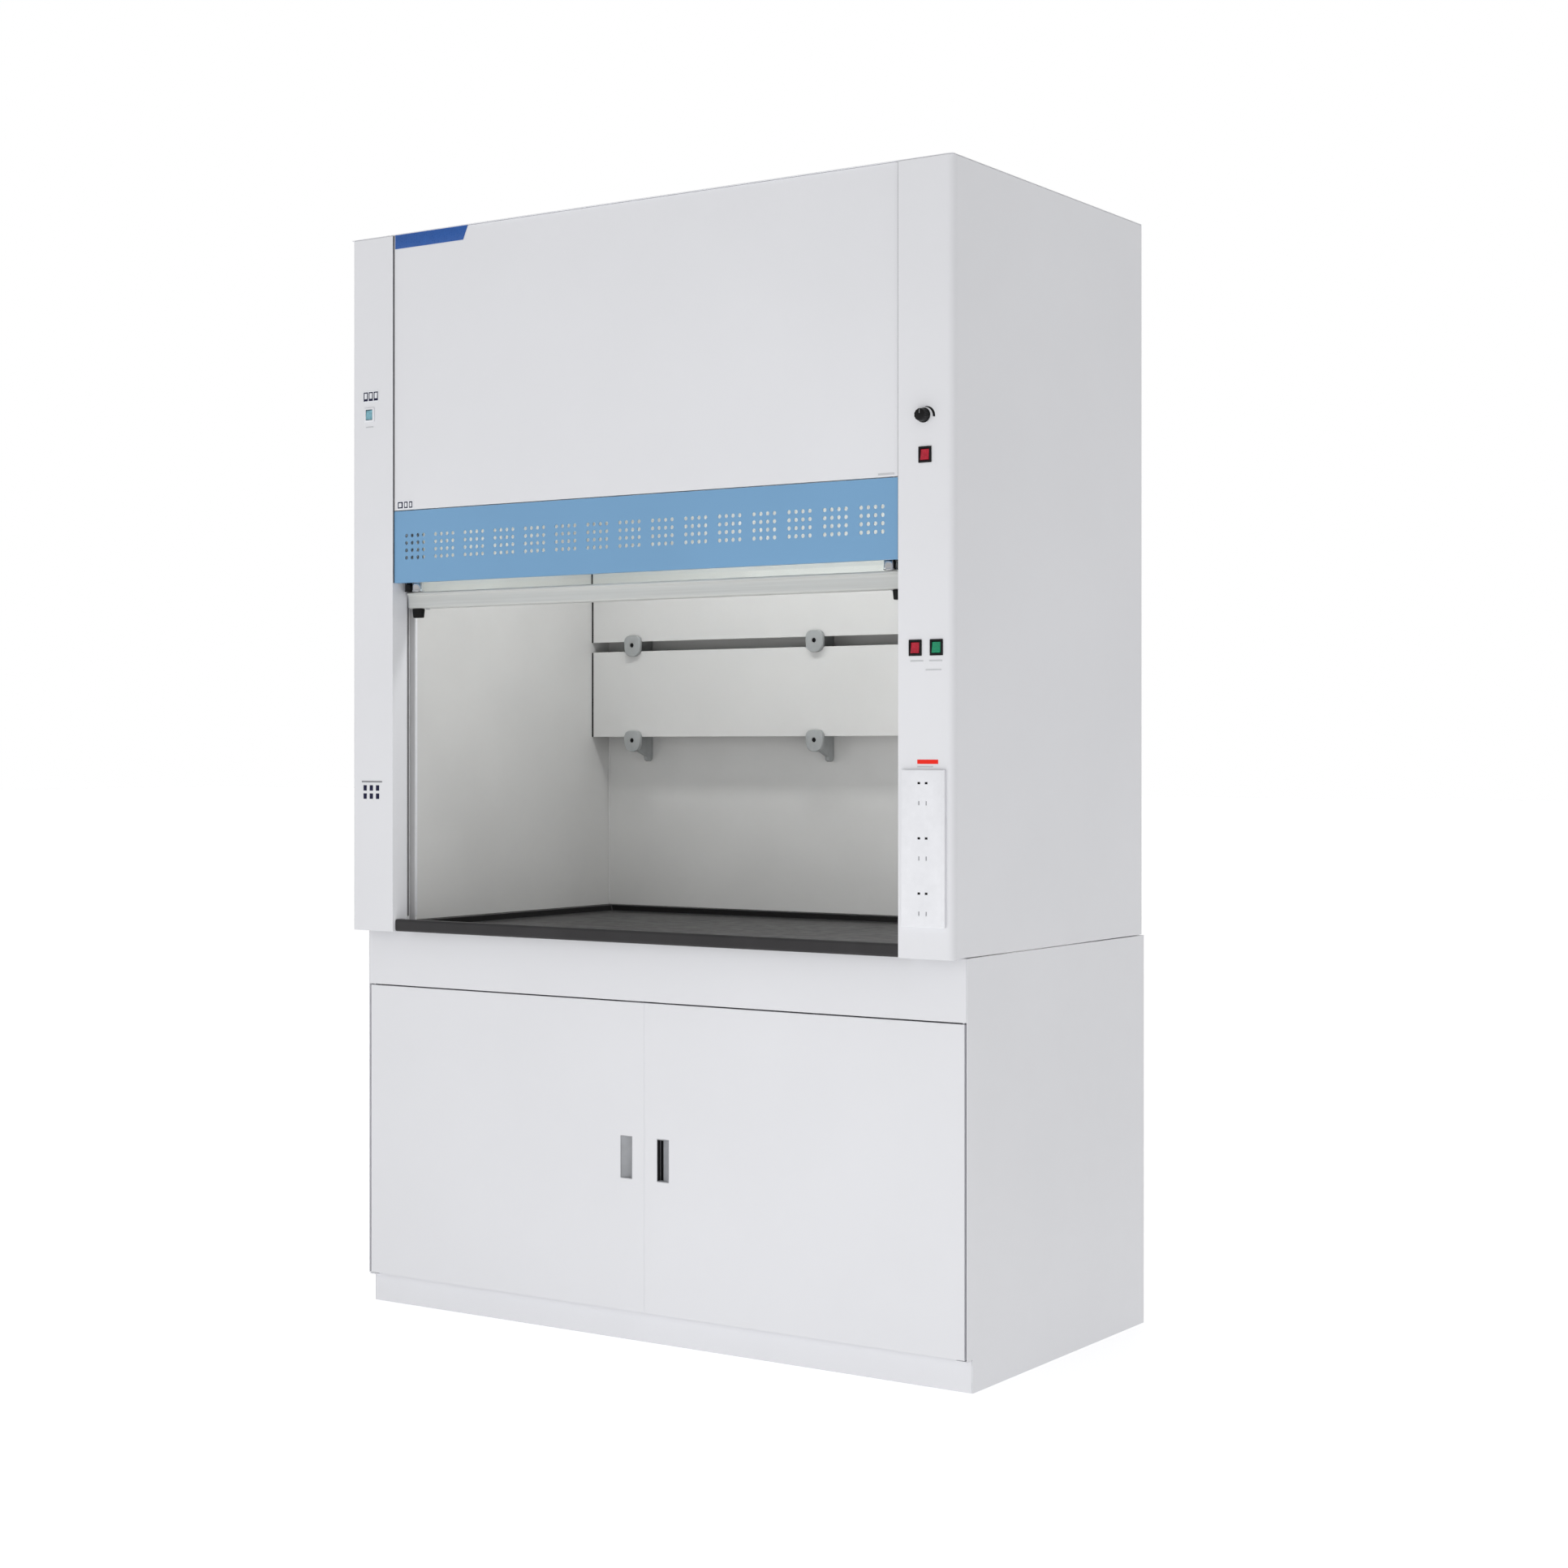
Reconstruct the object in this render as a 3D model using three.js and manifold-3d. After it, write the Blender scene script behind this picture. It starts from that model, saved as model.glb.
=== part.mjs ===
// Bench fume hood: a steel base cabinet with two doors, a dished worktop, a lined chamber with
// baffles and a lamp, and a counterbalanced vertical sash behind a perforated air grille.
// Millimetres, +Z up. The front faces -Y. The origin is under the middle of the overall box, on the floor.

import * as THREE from "three";
import { mergeVertices } from "three/addons/utils/BufferGeometryUtils.js";
import Module from "manifold-3d";

const wasm = await Module();
wasm.setup();

// ---------------------------------------------------------------- driving dimensions

const BODY_W = 1500; // over the side panels
const BODY_D = 850; // front posts to the back of the base cabinet
const BODY_H = 2350; // floor to roof
const KNOB_PROUD = 18; // the fan speed knob stands this far in front of the posts
const COLLAR_PROUD = 60; // the exhaust collar stands this far above the roof
const SHEET = 1.5; // folded steel sheet
const LINER = 5; // solid plastic chamber lining
const GAP = 0.5; // between neighbouring pieces
const SEAM = 2; // between the upper body and the base cabinet

const HALF_W = BODY_W / 2;
const FRONT = -(BODY_D + KNOB_PROUD) / 2 + KNOB_PROUD; // y of the posts' front face

// Distances behind the posts' front face.
const UPPER_BACK = 838;
const BASE_FRONT = 57.5; // front of the doors and the apron
const KICK_FRONT = 79;
const FASCIA_FRONT = 4;
const BAFFLE_FRONT = 734;
const CHAMBER_BACK = 804;

// Heights.
const BASE_TOP = 830;
const RIM_TOP = 852; // side and back rim of the worktop
const LIP_TOP = 857; // front lip of the worktop
const DISH_FLOOR = 838;
const GRILLE_BOTTOM = 1590.5;
const GRILLE_TOP = 1746.5;
const CEILING = 2060;

const OPENING_HALF = 632; // middle to the inner face of a post
const LINER_OUTER = OPENING_HALF + LINER;

// ---------------------------------------------------------------- materials

function material(color, roughness, metalness, extra = {}) {
  return new THREE.MeshStandardMaterial({ color, roughness, metalness, ...extra });
}

const paint = {
  shell: () => material(0xe9eaed, 0.35, 0.1),
  grille: () => material(0x7aa6cc, 0.4, 0.1),
  liner: () => material(0xd2d3d0, 0.45, 0),
  bracket: () => material(0xa9adae, 0.5, 0),
  worktop: () => material(0x47474b, 0.35, 0),
  glass: () => material(0xd8e6de, 0.05, 0, { transparent: true, opacity: 0.35 }),
  aluminium: () => material(0xd6d8d9, 0.3, 0.9),
  rail: () => material(0xdfe1e0, 0.35, 0.2),
  steel: () => material(0x8f9295, 0.35, 0.9),
  castIron: () => material(0x55585a, 0.6, 0.7),
  rope: () => material(0xb9bcbf, 0.3, 1),
  pull: () => material(0xb5b7b9, 0.4, 0.3),
  nylon: () => material(0xe4e2da, 0.5, 0),
  black: () => material(0x151516, 0.4, 0),
  red: () => material(0xc41f33, 0.3, 0),
  green: () => material(0x159a63, 0.3, 0),
  teal: () => material(0x7fbcc4, 0.3, 0),
  socket: () => material(0xeeeef0, 0.4, 0),
  lamp: () => material(0xfdfdf5, 0.4, 0),
};

const hood = new THREE.Group();

function add(name, geometry, makeMaterial) {
  const mesh = new THREE.Mesh(geometry, makeMaterial());
  mesh.name = name;
  hood.add(mesh);
  return mesh;
}

// ---------------------------------------------------------------- solids and booleans

// A closed three.js geometry as a manifold-3d solid.
function solid(geometry) {
  const bare = geometry.index ? geometry.toNonIndexed() : geometry.clone();
  bare.deleteAttribute("normal");
  bare.deleteAttribute("uv");
  const merged = mergeVertices(bare, 1e-3);
  return new wasm.Manifold(
    new wasm.Mesh({
      numProp: 3,
      vertProperties: new Float32Array(merged.attributes.position.array),
      triVerts: new Uint32Array(merged.index.array),
    }),
  );
}

function geometryOf(made) {
  const { numProp, numVert, vertProperties, triVerts } = made.getMesh();
  const position = new Float32Array(numVert * 3);
  for (let i = 0; i < numVert; i++) {
    position.set(vertProperties.subarray(i * numProp, i * numProp + 3), i * 3);
  }
  const geometry = new THREE.BufferGeometry();
  geometry.setAttribute("position", new THREE.BufferAttribute(position, 3));
  geometry.setIndex(new THREE.BufferAttribute(new Uint32Array(triVerts), 1));
  return geometry;
}

const join = (...geometries) =>
  geometryOf(geometries.map(solid).reduce((whole, piece) => whole.add(piece)));

const cut = (geometry, ...tools) =>
  geometryOf(tools.map(solid).reduce((whole, tool) => whole.subtract(tool), solid(geometry)));

// A box from its limits: x, distance behind the front, z.
function block([x0, x1], [s0, s1], [z0, z1]) {
  const geometry = new THREE.BoxGeometry(Math.abs(x1 - x0), s1 - s0, z1 - z0);
  return geometry.translate((x0 + x1) / 2, FRONT + (s0 + s1) / 2, (z0 + z1) / 2);
}

// A round bar along an axis, centred on (x, behind the front, z).
function bar(axis, radius, length, [x, s, z], sides = 24) {
  const geometry = new THREE.CylinderGeometry(radius, radius, length, sides);
  if (axis === "x") geometry.rotateZ(Math.PI / 2);
  if (axis === "z") geometry.rotateX(Math.PI / 2);
  return geometry.translate(x, FRONT + s, z);
}

function outline(points, holes = []) {
  const shape = new THREE.Shape(points.map(([u, v]) => new THREE.Vector2(u, v)));
  for (const hole of holes) {
    shape.holes.push(new THREE.Path(hole.map(([u, v]) => new THREE.Vector2(u, v))));
  }
  return shape;
}

// An outline in (behind the front, z) run along X from x0 to x1.
function alongX(points, x0, x1) {
  const geometry = new THREE.ExtrudeGeometry(outline(points), { depth: x1 - x0, bevelEnabled: false });
  geometry.rotateX(Math.PI / 2).rotateZ(Math.PI / 2);
  return geometry.translate(x0, FRONT, 0);
}

// An outline in (x, z) run backwards from s0 to s1.
function alongY(points, s0, s1, holes = []) {
  const geometry = new THREE.ExtrudeGeometry(outline(points, holes), {
    depth: s1 - s0,
    bevelEnabled: false,
  });
  geometry.rotateX(Math.PI / 2);
  return geometry.translate(0, FRONT + s1, 0);
}

// An outline in (x, behind the front) run upwards from z0 to z1.
function alongZ(points, z0, z1, holes = []) {
  const geometry = new THREE.ExtrudeGeometry(outline(points, holes), {
    depth: z1 - z0,
    bevelEnabled: false,
  });
  return geometry.translate(0, FRONT, z0);
}

function circle(u, v, radius, sides) {
  return Array.from({ length: sides }, (_, i) => {
    const angle = (2 * Math.PI * (i + 0.5)) / sides;
    return [u + radius * Math.cos(angle), v + radius * Math.sin(angle)];
  });
}

const SIDES = [
  ["left", -1],
  ["right", 1],
];

// ---------------------------------------------------------------- base cabinet

const DOOR_THICK = 16;
const DOOR_BOTTOM = 66;
const DOOR_TOP = 704.5;
const DOOR_OUTER = 743.5;
const DOOR_INNER = 0.6;
const APRON_BOTTOM = 707.5;
const FLOOR_TOP = 73;
const FLANGE = 20;
const HINGE_X = 738.5;
const HINGE_S = BASE_FRONT + DOOR_THICK / 2;
const HINGE_ROD_R = 2.5;
const HINGE_HOLE_R = 3;
const HINGE_SIDES = 16;
const HINGE_ROD_EXTRA = 11; // how much longer a rod is than its door
const PULL_X = 46; // middle of a door pull
const PULL_Z = 383;
const PULL_W = 30;
const PULL_H = 88;
const CUP_DEEP = 12; // of a door pull
const CUP_POCKET = 9; // width of the pocket at its free edge
const RIM = 1.2;
const STOP_S = BASE_FRONT + DOOR_THICK + 2; // flange that a closed door's back faces
const TOP_FLANGE = 40; // the worktop and the upper body rest on these

for (const [side, sign] of SIDES) {
  const outer = sign * HALF_W;
  const inner = sign * (HALF_W - SHEET);
  const sheet = alongX(
    [
      [KICK_FRONT, 0],
      [BODY_D, 0],
      [BODY_D, BASE_TOP],
      [BASE_FRONT, BASE_TOP],
      [BASE_FRONT, DOOR_BOTTOM - 1],
      [KICK_FRONT, DOOR_BOTTOM - 1],
    ],
    Math.min(outer, inner),
    Math.max(outer, inner),
  );
  const stop = block(
    [inner, inner - sign * FLANGE],
    [STOP_S, STOP_S + SHEET],
    [FLOOR_TOP + GAP, APRON_BOTTOM - GAP],
  );
  const top = block(
    [inner, inner - sign * TOP_FLANGE],
    [BASE_FRONT + TOP_FLANGE + 2 * GAP, BODY_D - TOP_FLANGE - 2 * GAP],
    [BASE_TOP - SHEET, BASE_TOP],
  );
  const foot = block(
    [inner, inner - sign * TOP_FLANGE],
    [KICK_FRONT + SHEET + GAP, BODY_D - SHEET - GAP],
    [0, SHEET],
  );
  add(`base_side_${side}`, join(sheet, stop, top, foot), paint.shell);

  add(
    `door_pivot_rod_${side}`,
    bar("z", HINGE_ROD_R, DOOR_TOP - DOOR_BOTTOM + HINGE_ROD_EXTRA, [
      sign * HINGE_X,
      HINGE_S,
      (DOOR_TOP + DOOR_BOTTOM) / 2 - GAP,
    ], HINGE_SIDES),
    paint.steel,
  );
}

const BASE_INNER = HALF_W - SHEET - GAP; // half the room between the base side panels
const SHELF_TOP = 395;
const SHELF_PLAY = 3;

// Channel-shaped sheet: a flat web with a flange along its front and back edges.
function tray(halfWidth, s0, s1, top, drop) {
  return alongX(
    [
      [s0, top],
      [s0, top - drop],
      [s0 + SHEET, top - drop],
      [s0 + SHEET, top - SHEET],
      [s1 - SHEET, top - SHEET],
      [s1 - SHEET, top - drop],
      [s1, top - drop],
      [s1, top],
    ].reverse(),
    -halfWidth,
    halfWidth,
  );
}

add(
  "base_floor",
  tray(BASE_INNER, KICK_FRONT + SHEET + GAP, BODY_D - SHEET - GAP, FLOOR_TOP, FLANGE),
  paint.shell,
);
add(
  "shelf",
  tray(
    BASE_INNER - SHELF_PLAY,
    STOP_S + 4 * SHEET,
    BODY_D - SHEET - 2 * GAP,
    SHELF_TOP,
    FLANGE,
  ),
  paint.shell,
);
add(
  "base_back",
  join(
    block([-BASE_INNER, BASE_INNER], [BODY_D - SHEET, BODY_D], [SHEET + GAP, BASE_TOP]),
    block(
      [-BASE_INNER, BASE_INNER],
      [BODY_D - TOP_FLANGE, BODY_D - SHEET],
      [BASE_TOP - SHEET, BASE_TOP],
    ),
  ),
  paint.shell,
);

// Apron over the doors, with a flange under the worktop and one over the doors that takes the hinge rods.
const apron = alongX(
  [
    [BASE_FRONT, APRON_BOTTOM],
    [BASE_FRONT + DOOR_THICK, APRON_BOTTOM],
    [BASE_FRONT + DOOR_THICK, APRON_BOTTOM + SHEET],
    [BASE_FRONT + SHEET, APRON_BOTTOM + SHEET],
    [BASE_FRONT + SHEET, BASE_TOP - SHEET],
    [BASE_FRONT + TOP_FLANGE, BASE_TOP - SHEET],
    [BASE_FRONT + TOP_FLANGE, BASE_TOP],
    [BASE_FRONT, BASE_TOP],
  ],
  -BASE_INNER,
  BASE_INNER,
);
const rodHoles = (z, height) =>
  SIDES.map(([, sign]) => bar("z", HINGE_HOLE_R, height, [sign * HINGE_X, HINGE_S, z], HINGE_SIDES));
const ROD_HOLE = 8; // long enough to pass a flange or a tab
add("apron_panel", cut(apron, ...rodHoles(APRON_BOTTOM, ROD_HOLE)), paint.shell);

// Kick plate, with a tab under each door that takes the lower end of its hinge rod.
const TAB_TOP = DOOR_BOTTOM - 1.5;
const TAB = 3;
const TAB_WIDTH = 24;
const kick = join(
  block([-BASE_INNER, BASE_INNER], [KICK_FRONT, KICK_FRONT + SHEET], [0, TAB_TOP]),
  ...SIDES.map(([, sign]) =>
    block(
      [sign * BASE_INNER, sign * (BASE_INNER - TAB_WIDTH)],
      [BASE_FRONT + 1, KICK_FRONT],
      [TAB_TOP - TAB, TAB_TOP],
    ),
  ),
);
add("kick_plate", cut(kick, ...rodHoles(TAB_TOP - TAB / 2, ROD_HOLE)), paint.shell);

for (const [side, sign] of SIDES) {
  const x = [sign * DOOR_INNER, sign * DOOR_OUTER];
  const height = [DOOR_BOTTOM, DOOR_TOP];
  const s = [BASE_FRONT, BASE_FRONT + DOOR_THICK];
  const inside = block(
    [sign * (DOOR_INNER + SHEET), sign * (DOOR_OUTER - SHEET)],
    [BASE_FRONT + SHEET, BASE_FRONT + DOOR_THICK + 1],
    [DOOR_BOTTOM + SHEET, DOOR_TOP - SHEET],
  );
  const pullHole = block(
    [sign * (PULL_X - PULL_W / 2), sign * (PULL_X + PULL_W / 2)],
    [BASE_FRONT - 1, BASE_FRONT + SHEET + 1],
    [PULL_Z - PULL_H / 2, PULL_Z + PULL_H / 2],
  );
  const rodHole = bar("z", HINGE_HOLE_R, BODY_H, [sign * HINGE_X, HINGE_S, PULL_Z], HINGE_SIDES);
  add(`door_${side}`, cut(block(x, s, height), inside, pullHole, rodHole), paint.shell);

  // Flush cup: it starts at the surface on the outer side and slopes down to a pocket at the free edge.
  const free = sign * (PULL_X - PULL_W / 2 + GAP);
  const far = sign * (PULL_X + PULL_W / 2 - GAP);
  const pullHeight = [PULL_Z - PULL_H / 2 + GAP, PULL_Z + PULL_H / 2 - GAP];
  const cup = block([free, far], [BASE_FRONT - 0.5, BASE_FRONT + CUP_DEEP], pullHeight);
  const scoop = [
    [free + sign * RIM, BASE_FRONT - 2],
    [far - sign * RIM, BASE_FRONT - 2],
    [far - sign * RIM, BASE_FRONT + 0.6],
    [free + sign * CUP_POCKET, BASE_FRONT + CUP_DEEP - RIM],
    [free + sign * RIM, BASE_FRONT + CUP_DEEP - RIM],
  ];
  add(
    `door_pull_${side}`,
    cut(cup, alongZ(sign > 0 ? scoop : scoop.reverse(), pullHeight[0] + RIM, pullHeight[1] - RIM)),
    paint.pull,
  );
}

// ---------------------------------------------------------------- worktop

const TOP_FRONT = 8; // front of the worktop behind the posts' front face
const TOP_BACK = 812;
const TRACK_BACK = 82;
const DISH_SLOPE = 10;
const DISH_X = 606;
const DISH_S0 = 36;
const DISH_S1 = 780;
const LIP_BACK = 28;
const LIP_ROUND = 4;

// A dish-shaped hollow, narrower at its floor than at its top.
function dish(top) {
  const rise = top - DISH_FLOOR;
  const spread = (DISH_SLOPE * rise) / (RIM_TOP - DISH_FLOOR);
  const tool = block([-DISH_X, DISH_X], [DISH_S0, DISH_S1], [DISH_FLOOR, top]);
  const position = tool.getAttribute("position");
  for (let i = 0; i < position.count; i++) {
    if (position.getZ(i) < top - 1) continue;
    position.setX(i, position.getX(i) + Math.sign(position.getX(i)) * spread);
    const behind = position.getY(i) - FRONT > (DISH_S0 + DISH_S1) / 2;
    position.setY(i, position.getY(i) + (behind ? spread : -spread));
  }
  return tool;
}

const TOP_SLAB_BOTTOM = BASE_TOP + GAP / 2;
const frontLip = alongX(
  [
    [TOP_FRONT + LIP_ROUND, TOP_SLAB_BOTTOM],
    [LIP_BACK + 6, TOP_SLAB_BOTTOM],
    [LIP_BACK + 6, RIM_TOP - 1],
    [LIP_BACK, LIP_TOP],
    [TOP_FRONT + LIP_ROUND, LIP_TOP],
    [TOP_FRONT + LIP_ROUND / 4, LIP_TOP - LIP_ROUND / 4],
    [TOP_FRONT, LIP_TOP - LIP_ROUND],
    [TOP_FRONT, TOP_SLAB_BOTTOM + LIP_ROUND],
    [TOP_FRONT + LIP_ROUND / 4, TOP_SLAB_BOTTOM + LIP_ROUND / 4],
  ],
  -OPENING_HALF + GAP,
  OPENING_HALF - GAP,
);
const slab = join(
  frontLip,
  block(
    [-OPENING_HALF + GAP, OPENING_HALF - GAP],
    [LIP_BACK, TRACK_BACK + LIP_BACK],
    [TOP_SLAB_BOTTOM, RIM_TOP],
  ),
  block([-LINER_OUTER, LINER_OUTER], [TRACK_BACK + GAP, TOP_BACK], [TOP_SLAB_BOTTOM, RIM_TOP]),
);
add("worktop", cut(slab, dish(RIM_TOP + 10)), paint.worktop);

// ---------------------------------------------------------------- upper shell

const UPPER_BOTTOM = BASE_TOP + SEAM;
const CORNER_R = 12;
const CORNER_STEPS = 5;
const POST_RETURN = 16; // the post's fold along the side
const JAMB = 48; // the post's fold into the opening
const PULLEY_ROOM = 75;
const PULLEY_Z = 2272;
const PULLEY_R = 52;
const PULLEY_PITCH_R = 47.5;

// Quarter-round of a folded corner, from (0, r) to (r, 0) around (r, r).
function fold(radius) {
  return Array.from({ length: CORNER_STEPS + 1 }, (_, i) => {
    const angle = (Math.PI / 2) * (i / CORNER_STEPS);
    return [CORNER_R - radius * Math.cos(angle), CORNER_R - radius * Math.sin(angle)];
  });
}

const SWITCH_W = 28;
const SWITCH_H = 31;
const BODY_W_CUT = 22;
const BODY_H_CUT = 26;
const SWITCHES = [
  { name: "fan", x: 691, z: 1785.5, rocker: paint.red, housing: paint.black },
  { name: "power", x: 670, z: 1420, rocker: paint.red, housing: paint.black },
  { name: "light", x: 715.5, z: 1420, rocker: paint.green, housing: paint.black },
  { name: "aux", x: -698, z: 1962, rocker: paint.teal, housing: paint.socket },
];
const KNOB = { x: 688, z: 1860, radius: 12.8, skirt: 14.2, spindle: 4 };
const SOCKET = { x: 689, z0: 890, z1: 1189, width: 94, proud: 7, box: 72, margin: 12, deep: 22 };

for (const [side, sign] of SIDES) {
  const outside = fold(CORNER_R).map(([u, v]) => [sign * (HALF_W - u), v]);
  const inside = fold(CORNER_R - SHEET).map(([u, v]) => [sign * (HALF_W - u), v]);
  const section = [
    [sign * HALF_W, POST_RETURN],
    ...outside,
    [sign * OPENING_HALF, 0],
    [sign * OPENING_HALF, JAMB],
    [sign * (OPENING_HALF + SHEET), JAMB],
    [sign * (OPENING_HALF + SHEET), SHEET],
    ...inside.reverse(),
    [sign * (HALF_W - SHEET), POST_RETURN],
  ];
  const post = alongZ(sign > 0 ? section.reverse() : section, BASE_TOP, BODY_H - SHEET - GAP);
  const cuts = [
    // Room for the pulley over the fold into the opening.
    block(
      [sign * (OPENING_HALF - 5), sign * (OPENING_HALF + 5)],
      [10, JAMB + 1],
      [PULLEY_Z - PULLEY_ROOM, BODY_H],
    ),
  ];
  for (const { x, z } of SWITCHES) {
    if (Math.sign(x) !== sign) continue;
    cuts.push(
      block(
        [x - BODY_W_CUT / 2 - GAP, x + BODY_W_CUT / 2 + GAP],
        [-5, 5],
        [z - BODY_H_CUT / 2 - GAP, z + BODY_H_CUT / 2 + GAP],
      ),
    );
  }
  if (sign > 0) {
    cuts.push(bar("y", KNOB.spindle + 0.5, 12, [KNOB.x, 0, KNOB.z], 16));
    cuts.push(
      block(
        [SOCKET.x - SOCKET.box / 2 - GAP, SOCKET.x + SOCKET.box / 2 + GAP],
        [-5, 5],
        [SOCKET.z0 + SOCKET.margin - GAP, SOCKET.z1 - SOCKET.margin + GAP],
      ),
    );
  }
  add(`post_${side}`, cut(post, ...cuts), paint.shell);

  add(
    `upper_side_${side}`,
    block(
      [sign * HALF_W, sign * (HALF_W - SHEET)],
      [POST_RETURN + 0.3, UPPER_BACK - SHEET - 0.3],
      [UPPER_BOTTOM, BODY_H - SHEET - GAP],
    ),
    paint.shell,
  );
}

const FASCIA_HALF = OPENING_HALF - 1.5;
const FASCIA_TOP = BODY_H - SHEET - GAP;

add(
  "fascia_panel",
  alongX(
    [
      [FASCIA_FRONT, GRILLE_TOP + 2],
      [FASCIA_FRONT + FLANGE, GRILLE_TOP + 2],
      [FASCIA_FRONT + FLANGE, GRILLE_TOP + 2 + SHEET],
      [FASCIA_FRONT + SHEET, GRILLE_TOP + 2 + SHEET],
      [FASCIA_FRONT + SHEET, FASCIA_TOP - SHEET],
      [FASCIA_FRONT + FLANGE, FASCIA_TOP - SHEET],
      [FASCIA_FRONT + FLANGE, FASCIA_TOP],
      [FASCIA_FRONT, FASCIA_TOP],
    ],
    -FASCIA_HALF,
    FASCIA_HALF,
  ),
  paint.shell,
);

// Air grille: clusters of four by four round holes, the same margin at both ends.
const HOLE = {
  radius: 4,
  sides: 6,
  pitch: 16,
  perSide: 4,
  clusters: 15,
  firstX: -596,
};
const holeMiddle = (GRILLE_TOP + GRILLE_BOTTOM) / 2;
const clusterWidth = (HOLE.perSide - 1) * HOLE.pitch;
const clusterPitch = (-2 * HOLE.firstX - clusterWidth) / (HOLE.clusters - 1);
const airHoles = [];
for (let cluster = 0; cluster < HOLE.clusters; cluster++) {
  for (let column = 0; column < HOLE.perSide; column++) {
    for (let row = 0; row < HOLE.perSide; row++) {
      const x = HOLE.firstX + cluster * clusterPitch + column * HOLE.pitch;
      const z = holeMiddle + (row - (HOLE.perSide - 1) / 2) * HOLE.pitch;
      airHoles.push(circle(x, z, HOLE.radius, HOLE.sides).reverse());
    }
  }
}
const grilleFace = alongY(
  [
    [-FASCIA_HALF, GRILLE_BOTTOM],
    [FASCIA_HALF, GRILLE_BOTTOM],
    [FASCIA_HALF, GRILLE_TOP],
    [-FASCIA_HALF, GRILLE_TOP],
  ],
  FASCIA_FRONT,
  FASCIA_FRONT + SHEET,
  airHoles,
);
const GRILLE_FLANGE = 15;
const grilleFlange = (z) =>
  block([-FASCIA_HALF, FASCIA_HALF], [FASCIA_FRONT, FASCIA_FRONT + GRILLE_FLANGE], [z, z + SHEET]);
add(
  "grille_panel",
  join(grilleFace, grilleFlange(GRILLE_BOTTOM), grilleFlange(GRILLE_TOP - SHEET)),
  paint.grille,
);

add(
  "upper_back",
  block([-HALF_W, HALF_W], [UPPER_BACK - SHEET, UPPER_BACK], [UPPER_BOTTOM, BODY_H - SHEET - GAP]),
  paint.shell,
);

const COLLAR = { x: 0, s: 606, outer: 125, wall: 1.5, sides: 40 };
const plan = [
  [-HALF_W, 0],
  [HALF_W, 0],
  [HALF_W, UPPER_BACK],
  [-HALF_W, UPPER_BACK],
];
const ductHole = () => circle(COLLAR.x, COLLAR.s, COLLAR.outer + GAP, COLLAR.sides).reverse();
add("roof_panel", alongZ(plan, BODY_H - SHEET, BODY_H, [ductHole()]), paint.shell);
add(
  "exhaust_collar",
  alongZ(
    circle(COLLAR.x, COLLAR.s, COLLAR.outer, COLLAR.sides),
    CEILING + GAP,
    BODY_H + COLLAR_PROUD,
    [circle(COLLAR.x, COLLAR.s, COLLAR.outer - COLLAR.wall, COLLAR.sides).reverse()],
  ),
  paint.shell,
);

// ---------------------------------------------------------------- chamber

for (const [side, sign] of SIDES) {
  add(
    `liner_${side}`,
    block(
      [sign * OPENING_HALF, sign * LINER_OUTER],
      [TRACK_BACK + GAP, CHAMBER_BACK + LINER],
      [RIM_TOP + GAP, CEILING + LINER],
    ),
    paint.liner,
  );
}
const LINER_ROOM = OPENING_HALF - GAP;
add(
  "liner_back",
  block([-LINER_ROOM, LINER_ROOM], [CHAMBER_BACK, CHAMBER_BACK + LINER], [RIM_TOP + GAP, CEILING + LINER]),
  paint.liner,
);

const LAMP = { half: 305, s0: 190, s1: 330, margin: 8, height: 70, tube: 13, tubeUp: 40 };
const ceilingPlan = [
  [-LINER_ROOM, TRACK_BACK + GAP],
  [LINER_ROOM, TRACK_BACK + GAP],
  [LINER_ROOM, CHAMBER_BACK - GAP],
  [-LINER_ROOM, CHAMBER_BACK - GAP],
];
const lampWindow = [
  [-LAMP.half, LAMP.s0],
  [-LAMP.half, LAMP.s1],
  [LAMP.half, LAMP.s1],
  [LAMP.half, LAMP.s0],
];
add(
  "chamber_ceiling",
  alongZ(ceilingPlan, CEILING, CEILING + LINER, [
    circle(COLLAR.x, COLLAR.s, COLLAR.outer + GAP, COLLAR.sides).reverse(),
    lampWindow,
  ]),
  paint.liner,
);
const lampBottom = CEILING + LINER + GAP;
const lampBox = block(
  [-LAMP.half - LAMP.margin, LAMP.half + LAMP.margin],
  [LAMP.s0 - LAMP.margin, LAMP.s1 + LAMP.margin],
  [lampBottom, lampBottom + LAMP.height],
);
const lampHollow = block(
  [-LAMP.half - LAMP.margin + SHEET, LAMP.half + LAMP.margin - SHEET],
  [LAMP.s0 - LAMP.margin + SHEET, LAMP.s1 + LAMP.margin - SHEET],
  [lampBottom - 1, lampBottom + LAMP.height - SHEET],
);
add("lamp_housing", cut(lampBox, lampHollow), paint.shell);
add(
  "lamp_tube",
  bar("x", LAMP.tube, 2 * LAMP.half - 10, [0, (LAMP.s0 + LAMP.s1) / 2, lampBottom + LAMP.tubeUp], 20),
  paint.lamp,
);

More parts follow.
